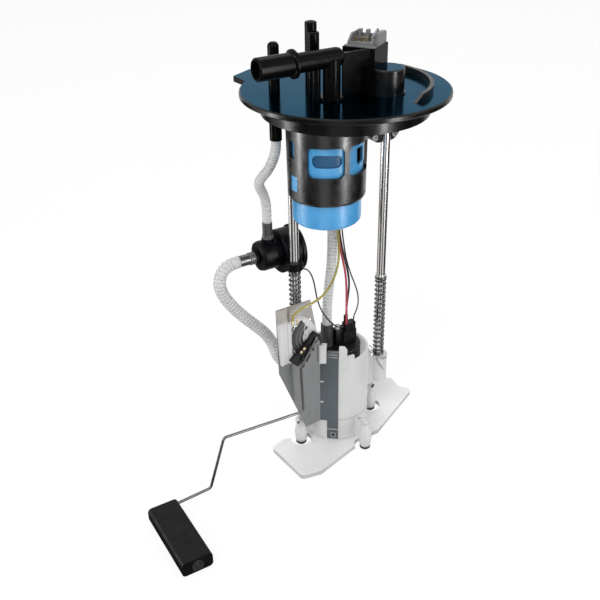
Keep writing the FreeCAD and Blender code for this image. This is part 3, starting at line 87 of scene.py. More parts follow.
HOSE_C_ROUTE = [
    (0.0059, 0.0250, -0.0360), (0.0059, 0.0250, -0.0510), (0.0054, 0.0243, -0.0770),
    (0.0052, 0.0240, -0.1040), (0.0049, 0.0240, -0.1280), (0.0040, 0.0235, -0.1467),
    (0.0018, 0.0230, -0.1616), (-0.0002, 0.0223, -0.1739), (-0.0018, 0.0214, -0.1865),
    (-0.0022, 0.0210, -0.1945), (-0.0022, 0.0210, -0.2015),
]
RED_ROUTE = [
    (0.0060, 0.0130, -0.0080), (0.0060, 0.0130, -0.0270), (0.0052, 0.0139, -0.0530),
    (0.0039, 0.0152, -0.0820), (0.0044, 0.0160, -0.1124), (0.0076, 0.0170, -0.1305),
    (0.0122, 0.0186, -0.1462), (0.0153, 0.0194, -0.1596), (0.0159, 0.0190, -0.1730),
    (0.0152, 0.0178, -0.1844), (0.0142, 0.0160, -0.1946), (0.0142, 0.0160, -0.2045),
]
BLACK_ROUTE = [
    (0.0090, 0.0130, -0.0080), (0.0090, 0.0130, -0.0270), (0.0080, 0.0144, -0.0530),
    (0.0065, 0.0166, -0.0820), (0.0070, 0.0180, -0.1139), (0.0108, 0.0192, -0.1312),
    (0.0160, 0.0210, -0.1481), (0.0199, 0.0220, -0.1620), (0.0206, 0.0220, -0.1734),
    (0.0182, 0.0212, -0.1856), (0.0166, 0.0202, -0.1950), (0.0166, 0.0202, -0.2045),
]
LOOP_ROUTE = [
    (0.0115, 0.0160, -0.0080), (0.0115, 0.0160, -0.0270), (0.0107, 0.0176, -0.0530),
    (0.0098, 0.0198, -0.0820), (0.0114, 0.0210, -0.1120), (0.0148, 0.0222, -0.1320),
    (0.0186, 0.0234, -0.1490), (0.0236, 0.0244, -0.1630), (0.0280, 0.0242, -0.1740),
    (0.0303, 0.0228, -0.1835), (0.0294, 0.0209, -0.1916), (0.0258, 0.0188, -0.1968),
    (0.0220, 0.0170, -0.1996), (0.0220, 0.0170, -0.2045),
]
YELLOW_ROUTE = [
    (0.0032, 0.0100, -0.0080), (0.0032, 0.0100, -0.0270), (0.0029, 0.0114, -0.0530),
    (0.0025, 0.0130, -0.0820), (0.0035, 0.0140, -0.1114), (0.0044, 0.0135, -0.1273),
    (0.0034, 0.0120, -0.1407), (-0.0014, 0.0096, -0.1506), (-0.0098, 0.0052, -0.1574),
    (-0.0200, 0.0019, -0.1619), (-0.0304, 0.0006, -0.1637), (-0.0396, 0.0004, -0.1656),
    (-0.0446, 0.0012, -0.1684), (-0.0460, 0.0021, -0.1714), (-0.0460, 0.0021, -0.1746),
]
GROUND_ROUTE = [
    (-0.02738, 0.01638, -0.1398), (-0.0252, 0.0144, -0.1398), (-0.0222, 0.0134, -0.1438),
    (-0.0199, 0.0130, -0.1506), (-0.0183, 0.0128, -0.1596), (-0.0166, 0.0128, -0.1696),
    (-0.0134, 0.0130, -0.1794), (-0.0084, 0.0134, -0.1886), (-0.0024, 0.0142, -0.1968),
    (0.0034, 0.0156, -0.2030), (0.0084, 0.0174, -0.2070), (0.0130, 0.0174, -0.2070),
]

# Small wires of this file, in millimetres. The contact edge gives x and z on the card's face.
BOSS_WIRE_ROUTE = [
    (38.6, 15.2, -234.2), (41.4, 14.6, -236.6), (38.0, 14.4, -239.4), (41.6, 14.2, -242.0),
    (38.8, 13.8, -244.8), (43.6, 13.4, -248.6), (48.8, 13.0, -256.6), (52.4, 12.8, -263.0),
]
CONTACT_EDGE_ROUTE = [
    (-40.0, -179.2), (-42.4, -180.6), (-45.2, -180.4), (-46.6, -183.0), (-45.6, -186.2), (-46.8, -189.4),
    (-45.8, -192.8), (-46.9, -196.2), (-45.9, -199.6), (-46.6, -203.0), (-45.2, -206.4),
]
CONTACT_EDGE_Y = 2.05

# The camera, fitted to the photograph.
CAMERA_PLACE = (-0.3201, -0.4850, 0.1654)
CAMERA_HEADING = math.radians(-30.0)
CAMERA_PITCH = math.radians(-29.894)
CAMERA_ROLL = math.radians(-1.109)
CAMERA_LENS = 49.8
CAMERA_SENSOR = 36.0

# The studio: places in metres, angles in degrees, power in watts.
FLOOR_Z = -0.313
FLOOR_DROP = 0.0001
LAMP_AIM = (0.0, 0.0, -0.12)
# Dark fans on the floor that only show in reflections: first angle and width.
DARK_CARDS = ((-114.0, 30.0), (-54.0, 60.0), (170.0, 46.0), (96.0, 30.0))
DARK_CARD_RADII = (0.10, 1.6)
DARK_CARD_RISE = 0.0004
# Strip lamps that only show as streaks on gloss: angle round the object, distance, height and power.
STREAKS = ((-72.0, 0.75, -0.05, 6.5), (158.0, 0.75, -0.05, 5.0))
STREAK_SIZE = (0.10, 0.60)

# Axes, faces and turns of the CAD model's shapes, in millimetres and radians.
FILTER_AXIS = (-23.6, -12.9, 0.0)
TANK_AXIS = (8.0, 21.0, 0.0)
PIVOT = (-27.1, 0.0, -193.9)
LEAF_ANGLE = math.radians(-40.0)
LEAF_FACE = 28.2
HOLDER_TURN = math.radians(225.6)

# Bands of the CAD model that take another finish, from and to: heights and radii in metres.
FLANGE_TOP = (0.0039, 0.0041)
CAP_TOP = (0.0214, 0.0216)
# The oval recess and the cartridge's inside are darkened as painted shade.
OVAL_RADII = (0.0240, 0.0254)
OVAL_HEIGHTS = (-0.0385, -0.0285)
INSIDE_SHADE_RADII = (0.0, 0.0242)
INSIDE_SHADE_HEIGHTS = (-0.0605, -0.0100)
# The cup's inside takes a faint glow of painted light.
CUP_GLOW_RADII = (0.0, 0.02535)
SEAM_HEIGHTS = (-0.2869, -0.2861)
BRACKET_TOP_HEIGHTS = (-0.200, -0.150)
# Printed tracks round the pivot: inner radius, outer radius and tone.
TRACKS = ((0.0122, 0.0134, 0.16), (0.0148, 0.0166, 0.09))
# How much a face that takes another finish looks along an axis, from and to.
LOOKS_UP = (0.98, 1.1)
LOOKS_SIDEWAYS = (-0.6, 0.6)
LOOKS_LIKE_LEAF = (-0.75, -0.4)
# Coordinates that count for the distance from an axis.
ROUND_Z = (1.0, 1.0, 0.0)
ROUND_Y = (1.0, 0.0, 1.0)

# Hoses: stations from ridge to ridge, how far a cuff sinks as a share of the corrugations' depth, and
# the power that rounds the ridges.
STEPS_PER_RIDGE = 6
CUFF_SINK = 0.3
RIDGE_ROUNDING = 0.6
# Springs: stations in a turn, and the pitch of closed turns as a share of the wire's thickness.
COIL_STEPS = 26
CLOSED_PITCH = 1.04
# Clips on the wire's holder, in millimetres: along the wire, across it, and half their length.
HOLDER_CLIPS = ((9.5, 3.6, 1.3), (17.6, 4.9, 3.6), (25.4, 6.0, 1.3), (9.5, -0.5, 1.3), (20.5, 1.3, 1.6))
CLIP_HALF = 1.2
CLIP_Y = -3.1
CLIP_LEAN = math.radians(10.8)

# Edges of round repeated shapes are smooth up to this many degrees.
SOFT_ANGLE = 80.0
WHITE_LIGHT = (1.0, 1.0, 1.0, 1.0)
EVEN = (1.0, 1.0, 1.0)


# Settings that a user would change

class HoseSizes(bpy.types.PropertyGroup):
    """Corrugated hoses."""
    depth: FloatProperty(name="Corrugation depth", description="How deep a groove is", default=0.0009,
                         unit="LENGTH")
    pitch_fine: FloatProperty(name="Pitch of hose A", description="From one ridge to the next",
                              default=0.0022, unit="LENGTH")
    pitch: FloatProperty(name="Pitch of hoses B and C", description="From one ridge to the next",
                         default=0.0030, unit="LENGTH")
    cuff: FloatProperty(name="Smooth cuff", description="Length of the plain ends", default=0.005,
                        unit="LENGTH")
    sides: IntProperty(name="Sides", description="Faces round a hose", default=28)


class LeadSizes(bpy.types.PropertyGroup):
    """Electrical leads."""
    thick: FloatProperty(name="Thick lead", description="Diameter of a supply lead", default=0.0018,
                         unit="LENGTH")
    thin: FloatProperty(name="Thin lead", description="Diameter of a signal lead", default=0.0012,
                        unit="LENGTH")
    sides: IntProperty(name="Sides", description="Faces round a lead", default=14)


class SpringSizes(bpy.types.PropertyGroup):
    """Compression springs on the guide rods."""
    wire: FloatProperty(name="Wire", description="Diameter of the wire", default=0.0011, unit="LENGTH")
    mean_radius: FloatProperty(name="Coil radius", description="Radius of the wire's centre line",
                               default=0.0045, unit="LENGTH")
    closed: IntProperty(name="Closed turns", description="Touching turns at each end", default=2)
    turns: IntProperty(name="Open turns", description="Turns with gaps between them", default=17)


class PlasticColours(bpy.types.PropertyGroup):
    """Colours of the moulded pieces."""
    black: FloatVectorProperty(name="Black", description="Flange and fittings", subtype="COLOR",
                               default=(0.0030, 0.0026, 0.0024))
    blue: FloatVectorProperty(name="Blue", description="Filter cartridge", subtype="COLOR",
                              default=(0.065, 0.36, 0.72))
    grey: FloatVectorProperty(name="Grey", description="Connector insert", subtype="COLOR",
                              default=(0.24, 0.24, 0.25))
    white: FloatVectorProperty(name="White", description="Reservoir and foot", subtype="COLOR",
                               default=(0.68, 0.68, 0.68))
    hose: FloatVectorProperty(name="Hose", description="Corrugated hoses", subtype="COLOR",
                              default=(0.60, 0.60, 0.59))
    foam: FloatVectorProperty(name="Float", description="Float", subtype="COLOR",
                              default=(0.0040, 0.0040, 0.0040))


class LeadColours(bpy.types.PropertyGroup):
    """Colours of the leads' insulation."""
    red: FloatVectorProperty(name="Red", description="Supply lead", subtype="COLOR",
                             default=(0.46, 0.04, 0.07))
    black: FloatVectorProperty(name="Black", description="Return leads", subtype="COLOR",
                               default=(0.010, 0.009, 0.010))
    yellow: FloatVectorProperty(name="Yellow", description="Sender lead", subtype="COLOR",
                                default=(0.33, 0.27, 0.02))


class MetalColours(bpy.types.PropertyGroup):
    """Colours of the metal pieces."""
    steel: FloatVectorProperty(name="Steel", description="Rods and arm wire", subtype="COLOR",
                               default=(0.60, 0.59, 0.58))
    zinc: FloatVectorProperty(name="Zinc", description="Sender bracket", subtype="COLOR",
                              default=(0.215, 0.222, 0.225))
    brass: FloatVectorProperty(name="Brass", description="Terminals and rivets", subtype="COLOR",
                               default=(0.72, 0.60, 0.36))


class StudioSizes(bpy.types.PropertyGroup):
    """Floor, world and lamps."""
    floor: FloatProperty(name="Floor", description="Side of the floor", default=12.0, unit="LENGTH")
    ambient: FloatProperty(name="Ambient", description="Strength of the even light", default=0.44)
    key: FloatProperty(name="Key lamp", description="Power in watts", default=13.0)
    fill: FloatProperty(name="Fill lamp", description="Power in watts", default=7.0)
    rear: FloatProperty(name="Rear lamp", description="Power in watts", default=9.0)


# Node trees of the finishes

def set_inputs(node, **values):
    """Set constant inputs of a node, whose names have _ for a space."""
    for name, value in values.items():
        node.inputs[name.replace("_", " ")].default_value = value


def add_node(tree, kind, **inputs):
    """A new node with some constant inputs."""
    made = tree.nodes.new(kind)
    set_inputs(made, **inputs)
    return made


def new_finish(name):
    """A material, its node tree and its surface shader."""
    material = bpy.data.materials.new(name)
    material.use_nodes = True
    tree = material.node_tree
    return material, tree, tree.nodes["Principled BSDF"]


def calculate(tree, operation, first, second):
    """A math node's result for two values, each a socket or a number."""
    node = add_node(tree, "ShaderNodeMath")
    node.operation = operation
    for socket, value in zip(node.inputs, (first, second)):
        if isinstance(value, bpy.types.NodeSocket):
            tree.links.new(value, socket)
        else:
            socket.default_value = value
    return node.outputs["Value"]


def between(tree, value, low, high):
    """1 where a value lies between two bounds, else 0."""
    return calculate(tree, "MULTIPLY", calculate(tree, "GREATER_THAN", value, low),
                     calculate(tree, "LESS_THAN", value, high))


def piece_place(tree):
    """Where a point of the surface is in its piece, in metres."""
    return add_node(tree, "ShaderNodeTexCoord").outputs["Object"]


def coordinate(tree, vector, axis):
    """One coordinate of a vector."""
    apart = add_node(tree, "ShaderNodeSeparateXYZ")
    tree.links.new(vector, apart.inputs["Vector"])
    return apart.outputs[axis]


def at_heights(tree, heights):
    """1 where the surface lies between two heights."""
    return between(tree, coordinate(tree, piece_place(tree), "Z"), *heights)


def facing(tree, axis, bounds):
    """1 where a face looks along an axis by as much as the bounds say."""
    geometry = add_node(tree, "ShaderNodeNewGeometry")
    return between(tree, coordinate(tree, geometry.outputs["True Normal"], axis), *bounds)


def at_radii(tree, point, keep, radii):
    """1 where the surface lies between two radii from an axis through a point in millimetres."""
    moved = add_node(tree, "ShaderNodeMapping", Location=tuple(-c * MM for c in point))
    flat = add_node(tree, "ShaderNodeVectorMath")
    flat.operation = "MULTIPLY"
    flat.inputs[1].default_value = keep
    length = add_node(tree, "ShaderNodeVectorMath")
    length.operation = "LENGTH"
    tree.links.new(piece_place(tree), moved.inputs["Vector"])
    tree.links.new(moved.outputs["Vector"], flat.inputs[0])
    tree.links.new(flat.outputs["Vector"], length.inputs[0])
    return between(tree, length.outputs["Value"], *radii)


def object_noise(tree, scale, stretch=EVEN):
    """Noise that is fixed to the piece, stretched along the axes whose factor is below 1."""
    mapping = add_node(tree, "ShaderNodeMapping", Scale=stretch)
    noise = add_node(tree, "ShaderNodeTexNoise", Scale=scale, Detail=3.0, Roughness=0.55)
    tree.links.new(piece_place(tree), mapping.inputs["Vector"])
    tree.links.new(mapping.outputs["Vector"], noise.inputs["Vector"])
    return noise.outputs["Fac"]


def scaled(colour, factor):
    """A colour made lighter or darker."""
    return tuple(min(1.0, channel * factor) for channel in colour)


def vary_colour(tree, shader, colour, spread, scale, stretch=EVEN):
    """Cloudy variation of the base colour, from darker to lighter by spread."""
    ramp = add_node(tree, "ShaderNodeValToRGB")
    for stop, place, factor in zip(ramp.color_ramp.elements, (0.32, 0.68), (1 - spread, 1 + spread)):
        stop.position = place
        stop.color = (*scaled(colour, factor), 1.0)
    tree.links.new(object_noise(tree, scale, stretch), ramp.inputs["Fac"])
    tree.links.new(ramp.outputs["Color"], shader.inputs["Base Color"])


def vary_roughness(tree, shader, low, high, scale, stretch=EVEN):
    """Cloudy variation of the roughness between two values."""
    spread = add_node(tree, "ShaderNodeMapRange", From_Min=0.3, From_Max=0.7, To_Min=low, To_Max=high)
    tree.links.new(object_noise(tree, scale, stretch), spread.inputs["Value"])
    tree.links.new(spread.outputs["Result"], shader.inputs["Roughness"])


def add_grain(tree, shader, scale, depth, stretch=EVEN):
    """A fine grain that is depth metres deep."""
    bump = add_node(tree, "ShaderNodeBump", Strength=0.5, Distance=depth)
    tree.links.new(object_noise(tree, scale, stretch), bump.inputs["Height"])
    tree.links.new(bump.outputs["Normal"], shader.inputs["Normal"])


def plastic_look(tree, shader, colour, roughness, spread, constants):
    """Slow changes of colour and gloss, and constant inputs."""
    vary_colour(tree, shader, colour, spread, 45.0)
    vary_roughness(tree, shader, roughness * 0.8, roughness * 1.25, 120.0)
    set_inputs(shader, **constants)


def moulded(name, colour, roughness, spread=0.12, grain=900.0, depth=0.00002, **constants):
    """Moulded plastic with a fine grain."""
    material, tree, shader = new_finish(name)
    plastic_look(tree, shader, colour, roughness, spread, constants)
    add_grain(tree, shader, grain, depth)
    return material


def drawn(name, colour, roughness, stretch, spread=0.04):
    """Metal with fine lines along the axis whose stretch is smallest."""
    material, tree, shader = new_finish(name)
    vary_colour(tree, shader, colour, spread, 260.0, stretch)
    vary_roughness(tree, shader, roughness * 0.85, roughness * 1.2, 400.0, stretch)
    add_grain(tree, shader, 2400.0, 0.0000012, stretch)
    set_inputs(shader, Metallic=1.0)
    return material


def milky(weight, depth):
    """Inputs of a plastic that light enters to a depth in metres."""
    return {"Subsurface_Weight": weight, "Subsurface_Scale": depth, "Subsurface_Radius": EVEN}


def mix_shaders(tree, share, first, second, output):
    """Send two shaders to an output: the first where share is 0, the second where it is 1."""
    mix = add_node(tree, "ShaderNodeMixShader")
    tree.links.new(share, mix.inputs["Fac"])
    tree.links.new(first, mix.inputs[1])
    tree.links.new(second, mix.inputs[2])
    tree.links.new(mix.outputs["Shader"], output)


def second_finish(material, mask, colour, roughness, spread=0.12, **constants):
    """Cover a finish with another one where a mask is 1."""
    tree = material.node_tree
    output = tree.nodes["Material Output"].inputs["Surface"]
    shader = add_node(tree, "ShaderNodeBsdfPrincipled")
    plastic_look(tree, shader, colour, roughness, spread, constants)
    mix_shaders(tree, mask, output.links[0].from_socket, shader.outputs["BSDF"], output)
    return material


def paint(material, *nodes):
    """Give a finish to CAD nodes that stay."""
    for node in nodes:
        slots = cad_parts[node].data.materials
        slots.clear()
        slots.append(material)


# Shapes

def add_object(name, data):
    """A new object in the scene."""
    made = bpy.data.objects.new(name, data)
    bpy.context.scene.collection.objects.link(made)
    return made


def finished(name, mesh, body, slot, *nodes):
    """Link a finished mesh as a piece that rides on a body and stands for CAD nodes."""
    piece = add_object(name, mesh)
    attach(piece, body)
    if nodes:
        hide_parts(*nodes)
    return piece


def plain_mesh(bm, name, material):
    """Turn a bmesh into a mesh with one finish."""
    mesh = bpy.data.meshes.new(name)
    bm.to_mesh(mesh)
    bm.free()
    mesh.materials.append(material)
    return mesh


def mesh_of(bm, name, material, smooth_angle=40.0):
    """A mesh with one finish, smooth except across edges sharper than an angle."""
    bmesh.ops.recalc_face_normals(bm, faces=bm.faces)
    for edge in bm.edges:
        edge.smooth = edge.calc_face_angle(0.0) < math.radians(smooth_angle)
    for face in bm.faces:
        face.smooth = True
    return plain_mesh(bm, name, material)


def add_detail(name, bm, material, body, slot):
    """Turn a bmesh into a small piece of its own."""
    finished(name, mesh_of(bm, name, material), body, slot)


def spline_points(route, name):
    """Close points along the smooth line that a route's points control."""
    curve = bpy.data.curves.new(name, "CURVE")
    curve.dimensions = "3D"
    curve.resolution_u = 24
    spline = curve.splines.new("NURBS")
    spline.points.add(len(route) - 1)
    for point, place in zip(spline.points, route):
        point.co = (*place, 1.0)
    spline.order_u = 3
    spline.use_endpoint_u = True
    holder = add_object(name, curve)
    line = bpy.data.meshes.new_from_object(holder)
    points = [vertex.co.copy() for vertex in line.vertices]
    bpy.data.objects.remove(holder)
    bpy.data.curves.remove(curve)
    bpy.data.meshes.remove(line)
    return points


def spaced(points, step):
    """Points every step or so along a line, with the direction at each and the length so far."""
    lengths = [0.0]
    for a, b in zip(points, points[1:]):
        lengths.append(lengths[-1] + (b - a).length)
    total = lengths[-1]
    count = max(8, round(total / step))
    places = []
    index = 0
    for i in range(count + 1):
        want = total * i / count
        while index < len(points) - 2 and lengths[index + 1] < want:
            index += 1
        share = (want - lengths[index]) / max(lengths[index + 1] - lengths[index], 1e-9)
        places.append((points[index].lerp(points[index + 1], share), want))
    found = [(place, (places[min(count, i + 1)][0] - places[max(0, i - 1)][0]).normalized(), want)
             for i, (place, want) in enumerate(places)]
    return found, total


def swept_tube(points, radius_at, step, sides):
    """A closed tube along a line, whose radius changes with the length so far."""
    stations, total = spaced(points, step)
    bm = bmesh.new()
    first, along, _ = stations[0]
    turn = Vector((0, 0, 1)).rotation_difference(along)
    bmesh.ops.create_circle(bm, cap_ends=True, radius=radius_at(0.0, total), segments=sides,
                            matrix=Matrix.Translation(first) @ turn.to_matrix().to_4x4())
    edges = [e for e in bm.edges if len(e.link_faces) <= 1]
    for place, direction, reach in stations[1:]:
        grown = bmesh.ops.extrude_edge_only(bm, edges=edges)["geom"]
        ring = [g for g in grown if isinstance(g, bmesh.types.BMVert)]
        edges = [g for g in grown if isinstance(g, bmesh.types.BMEdge)
                 and all(v in ring for v in g.verts)]
        scale = radius_at(reach, total) / (ring[0].co - first).length
        move = (Matrix.Translation(place) @ along.rotation_difference(direction).to_matrix().to_4x4()
                @ Matrix.Scale(scale, 4) @ Matrix.Translation(-first))
        bmesh.ops.transform(bm, matrix=move, verts=ring)
        first, along = place, direction
    bmesh.ops.contextual_create(bm, geom=edges)
    return bm, total


def corrugated(pitch, depth, cuff, radius):
    """Radius of a corrugated hose at a length along it, with plain ends."""
    def radius_at(reach, total):
        if reach < cuff or reach > total - cuff:
            return radius - depth * CUFF_SINK
        wave = 0.5 + 0.5 * math.cos(2 * math.pi * (reach - cuff) / pitch)
        return radius - depth * (1 - wave ** RIDGE_ROUNDING)
    return radius_at


def add_box(bm, low, high, turn=None):
    """A block between two corners in millimetres, turned about its middle if asked."""
    low, high = Vector(low) * MM, Vector(high) * MM
    place = Matrix.Translation((low + high) / 2) @ (turn or Matrix.Identity(4))
    bmesh.ops.create_cube(bm, size=1.0, matrix=place @ Matrix.Diagonal((*(high - low), 1.0)))


def bevelled(bm, width):
    """Round every edge by a width in millimetres."""
    bmesh.ops.bevel(bm, geom=list(bm.edges), offset=width * MM, offset_type="OFFSET", affect="EDGES",
                    segments=2, profile=0.5, material=-1)
    return bm


def add_ring(bm, centre, radius, thick, axis, stretch=EVEN):
    """A ring of round section in millimetres. Rings come before the other shapes of a bmesh."""
    centre, axis = Vector(centre) * MM, Vector(axis)
    across = axis.orthogonal().normalized()
    section = Matrix((across, axis.cross(across), axis)).transposed()
    bmesh.ops.create_circle(bm, radius=thick / 2 * MM, segments=10,
                            matrix=Matrix.Translation(across * radius * MM)
                            @ section.to_4x4() @ Matrix.Rotation(math.pi / 2, 4, "X"))
    edges = [edge for edge in bm.edges if not edge.verts[0].tag]
    bmesh.ops.spin(bm, geom=edges, cent=(0, 0, 0), axis=axis, angle=2 * math.pi, steps=32, use_merge=True)
    loop = [vert for vert in bm.verts if not vert.tag]
    bmesh.ops.transform(bm, verts=loop, matrix=Matrix.Translation(centre) @ Matrix.Diagonal((*stretch, 1.0)))
    for vert in loop:
        vert.tag = True


def add_ball(bm, centre, radius, squash, sides, rings):
    """A ball in millimetres, squashed along the axes."""
    bmesh.ops.create_uvsphere(bm, u_segments=sides, v_segments=rings, radius=radius * MM,
                              matrix=Matrix.Translation(Vector(centre) * MM)
                              @ Matrix.Diagonal((*squash, 1.0)))


def thin_wire(points, thick):
    """A thin wire along points in millimetres."""
    bm, _ = swept_tube([Vector(point) * MM for point in points], lambda reach, total: thick / 2 * MM,
                       thick * 0.9 * MM, 8)
    return bm


def leaf_place(along, out, height):
    """A point on the sender bracket's turned leaf, in millimetres."""
    return (TANK_AXIS[0] + (LEAF_FACE + out) * math.sin(LEAF_ANGLE) + along * math.cos(LEAF_ANGLE),
            TANK_AXIS[1] - (LEAF_FACE + out) * math.cos(LEAF_ANGLE) + along * math.sin(LEAF_ANGLE), height)


def add_leaf_box(bm, along, out, height):
    """A block on the leaf: ranges along it, out from it and in height."""
    middle = Vector(leaf_place(sum(along) / 2, sum(out) / 2, sum(height) / 2))
    half = Vector((along[1] - along[0], out[1] - out[0], height[1] - height[0])) / 2
    add_box(bm, middle - half, middle + half, Matrix.Rotation(LEAF_ANGLE, 4, "Z"))


def across_slide(piece):
    """A piece held by the flange at one end and by the sliding reservoir at the other."""
    piece.parent = None
    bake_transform(piece)


# Operators, in the order in which they run

class PUMPMODULE_OT_camera(bpy.types.Operator):
    """Stand the camera where the photographer stood"""
    bl_idname = "pumpmodule.camera"
    bl_label = "Camera"

    def execute(self, context):
        data = bpy.data.cameras.new("camera")
        data.lens = CAMERA_LENS
        data.sensor_width = CAMERA_SENSOR
        camera = add_object("camera", data)
        camera.matrix_world = (Matrix.Translation(CAMERA_PLACE) @ Matrix.Rotation(CAMERA_HEADING, 4, "Z")
                               @ Matrix.Rotation(math.pi / 2 + CAMERA_PITCH, 4, "X")
                               @ Matrix.Rotation(CAMERA_ROLL, 4, "Z"))
        context.scene.camera = camera
        return {"FINISHED"}


class PUMPMODULE_OT_hoses(bpy.types.Operator):
    """Make the three corrugated hoses"""
    bl_idname = "pumpmodule.hoses"
    bl_label = "Hoses"

    def execute(self, context):
        sizes = context.scene.hose_sizes
        finish = moulded("translucent hose", context.scene.plastic_colours.hose, 0.50, spread=0.06,
                         Specular_IOR_Level=0.35, **milky(0.85, 0.006))
        hoses = (("hose_a", HOSE_A_ROUTE, 0.0077, sizes.pitch_fine),
                 ("hose_b", HOSE_B_ROUTE, 0.0104, sizes.pitch),
                 ("hose_c", HOSE_C_ROUTE, 0.0085, sizes.pitch))
        for node, route, diameter, pitch in hoses:
            points = spline_points(route, node)
            bm, total = swept_tube(points, corrugated(pitch, sizes.depth, sizes.cuff, diameter / 2),
                                   pitch / STEPS_PER_RIDGE, sizes.sides)
            piece = finished(node + "_corrugated", mesh_of(bm, node, finish, SOFT_ANGLE), "flange", "hose",
                             node)
            if node != "hose_a":
                across_slide(piece)
        return {"FINISHED"}


class PUMPMODULE_OT_leads(bpy.types.Operator):
    """Make the five leads"""
    bl_idname = "pumpmodule.leads"
    bl_label = "Leads"

    def execute(self, context):
        sizes = context.scene.lead_sizes
        colours = context.scene.lead_colours
        red = moulded("red insulation", colours.red, 0.32, Coat_Weight=0.2)
        black = moulded("black insulation", colours.black, 0.30, Coat_Weight=0.2)
        yellow = moulded("yellow insulation", colours.yellow, 0.36, Coat_Weight=0.2)
        leads = (("wire_red", RED_ROUTE, sizes.thick, red, "red_lead"),
                 ("wire_black", BLACK_ROUTE, sizes.thick, black, "black_lead"),
                 ("wire_loop", LOOP_ROUTE, sizes.thin, black, "black_lead"),
                 ("wire_yellow", YELLOW_ROUTE, sizes.thick, yellow, "yellow_lead"),
                 ("wire_ground", GROUND_ROUTE, sizes.thin, black, "black_lead"))
        for node, route, diameter, finish, slot in leads:
            points = spline_points(route, node)
            bm, total = swept_tube(points, lambda reach, length: diameter / 2, diameter, sizes.sides)
            piece = finished(node + "_lead", mesh_of(bm, node, finish), "flange", slot, node)
            across_slide(piece)
        return {"FINISHED"}


class PUMPMODULE_OT_springs(bpy.types.Operator):
    """Wind the two compression springs"""
    bl_idname = "pumpmodule.springs"
    bl_label = "Springs"

    def execute(self, context):
        sizes = context.scene.spring_sizes
        finish = drawn("spring steel", (0.10, 0.10, 0.10), 0.22, (1, 1, 0.3), spread=0.02)
        for side in ("left", "right"):
            node = "spring_" + side
            low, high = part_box(node)
            axis = Vector(((low.x + high.x) / 2, (low.y + high.y) / 2, 0))
            height = high.z - low.z - sizes.wire
            tight = sizes.wire * CLOSED_PITCH
            open_pitch = (height - 2 * sizes.closed * tight) / sizes.turns
            bm = bmesh.new()
            start = axis + Vector((sizes.mean_radius, 0, low.z + sizes.wire / 2))
            bmesh.ops.create_circle(bm, cap_ends=True, radius=sizes.wire / 2, segments=10,
                                    matrix=Matrix.Translation(start) @ Matrix.Rotation(math.pi / 2, 4, "X"))
            edges = list(bm.edges)
            for turns, pitch in ((sizes.closed, tight), (sizes.turns, open_pitch), (sizes.closed, tight)):
                grown = bmesh.ops.spin(bm, geom=edges, cent=axis, axis=(0, 0, 1),
                                       angle=2 * math.pi * turns, steps=COIL_STEPS * turns,
                                       dvec=(0, 0, pitch / COIL_STEPS))["geom_last"]
                edges = [g for g in grown if isinstance(g, bmesh.types.BMEdge)]
            bmesh.ops.contextual_create(bm, geom=edges)
            piece = finished(node + "_coil", mesh_of(bm, node, finish, SOFT_ANGLE), "flange",
                             "spring_steel", node)
            across_slide(piece)
        return {"FINISHED"}


class PUMPMODULE_OT_flange(bpy.types.Operator):
    """Finish the flange and what stands on it"""
    bl_idname = "pumpmodule.flange"
    bl_label = "Flange"

    def execute(self, context):
        colours = context.scene.plastic_colours
        paint(moulded("glossy black", colours.black, 0.24, Specular_IOR_Level=0.05), "supply_elbow",
              "return_nipple", "vent_nipple_short", "vent_nipple_tall", "connector_body")
        # The tops of the flange and the cap carry a painted blue reflection.
        for node, top in (("flange_plate", FLANGE_TOP), ("vent_valve_cap", CAP_TOP)):
            paint(painted_reflection_top(node, colours.black, top), node)
        paint(moulded("light grey", scaled(colours.grey, 0.8), 0.42), "connector_insert")
        paint(drawn("brass", context.scene.metal_colours.brass, 0.25, (1, 1, 0.2)), "connector_terminals")
        return {"FINISHED"}


def painted_reflection_top(name, black, top):
    """Satin black whose flat upper face is polished, with a painted blue reflection."""
    material = moulded(name, black, 0.26, Specular_IOR_Level=0.20)
    tree = material.node_tree
    flat = calculate(tree, "MULTIPLY", at_heights(tree, top), facing(tree, "Z", LOOKS_UP))
    # Painted reflection: a blue metallic colour stands in for blue surroundings mirrored in the polished
    # top.
    return second_finish(material, flat, (0.025, 0.071, 0.118), 0.13, spread=0.06, Metallic=1.0,
                         Specular_Tint=(0.47, 0.56, 0.63, 1.0))


class PUMPMODULE_OT_filter(bpy.types.Operator):
    """Finish the filter housing, its cartridge and the pleated element"""
    bl_idname = "pumpmodule.filter"
    bl_label = "Filter"

    def execute(self, context):
        colours = context.scene.plastic_colours
        paint(moulded("satin black", colours.black, 0.30, depth=0.00001, Specular_IOR_Level=0.65),
              "filter_housing")
        blue = moulded("light blue", colours.blue, 0.30, spread=0.06, Specular_IOR_Level=0.8,
                       **milky(0.15, 0.003))
        tree = blue.node_tree
        # Painted shade: the oval recess turns darker blue and the cartridge's inside near black.
        for radii, heights, colour, roughness in (
                (OVAL_RADII, OVAL_HEIGHTS, (0.004, 0.085, 0.20), 0.4),
                (INSIDE_SHADE_RADII, INSIDE_SHADE_HEIGHTS, (0.004, 0.006, 0.010), 0.6)):
            band = calculate(tree, "MULTIPLY", at_radii(tree, FILTER_AXIS, ROUND_Z, radii),
                             at_heights(tree, heights))
            second_finish(blue, band, colour, roughness)
        paint(blue, "filter_cartridge")
        paint(moulded("filter paper", (0.03, 0.025, 0.02), 0.8, spread=0.2, grain=2500.0), "filter_element")
        return {"FINISHED"}


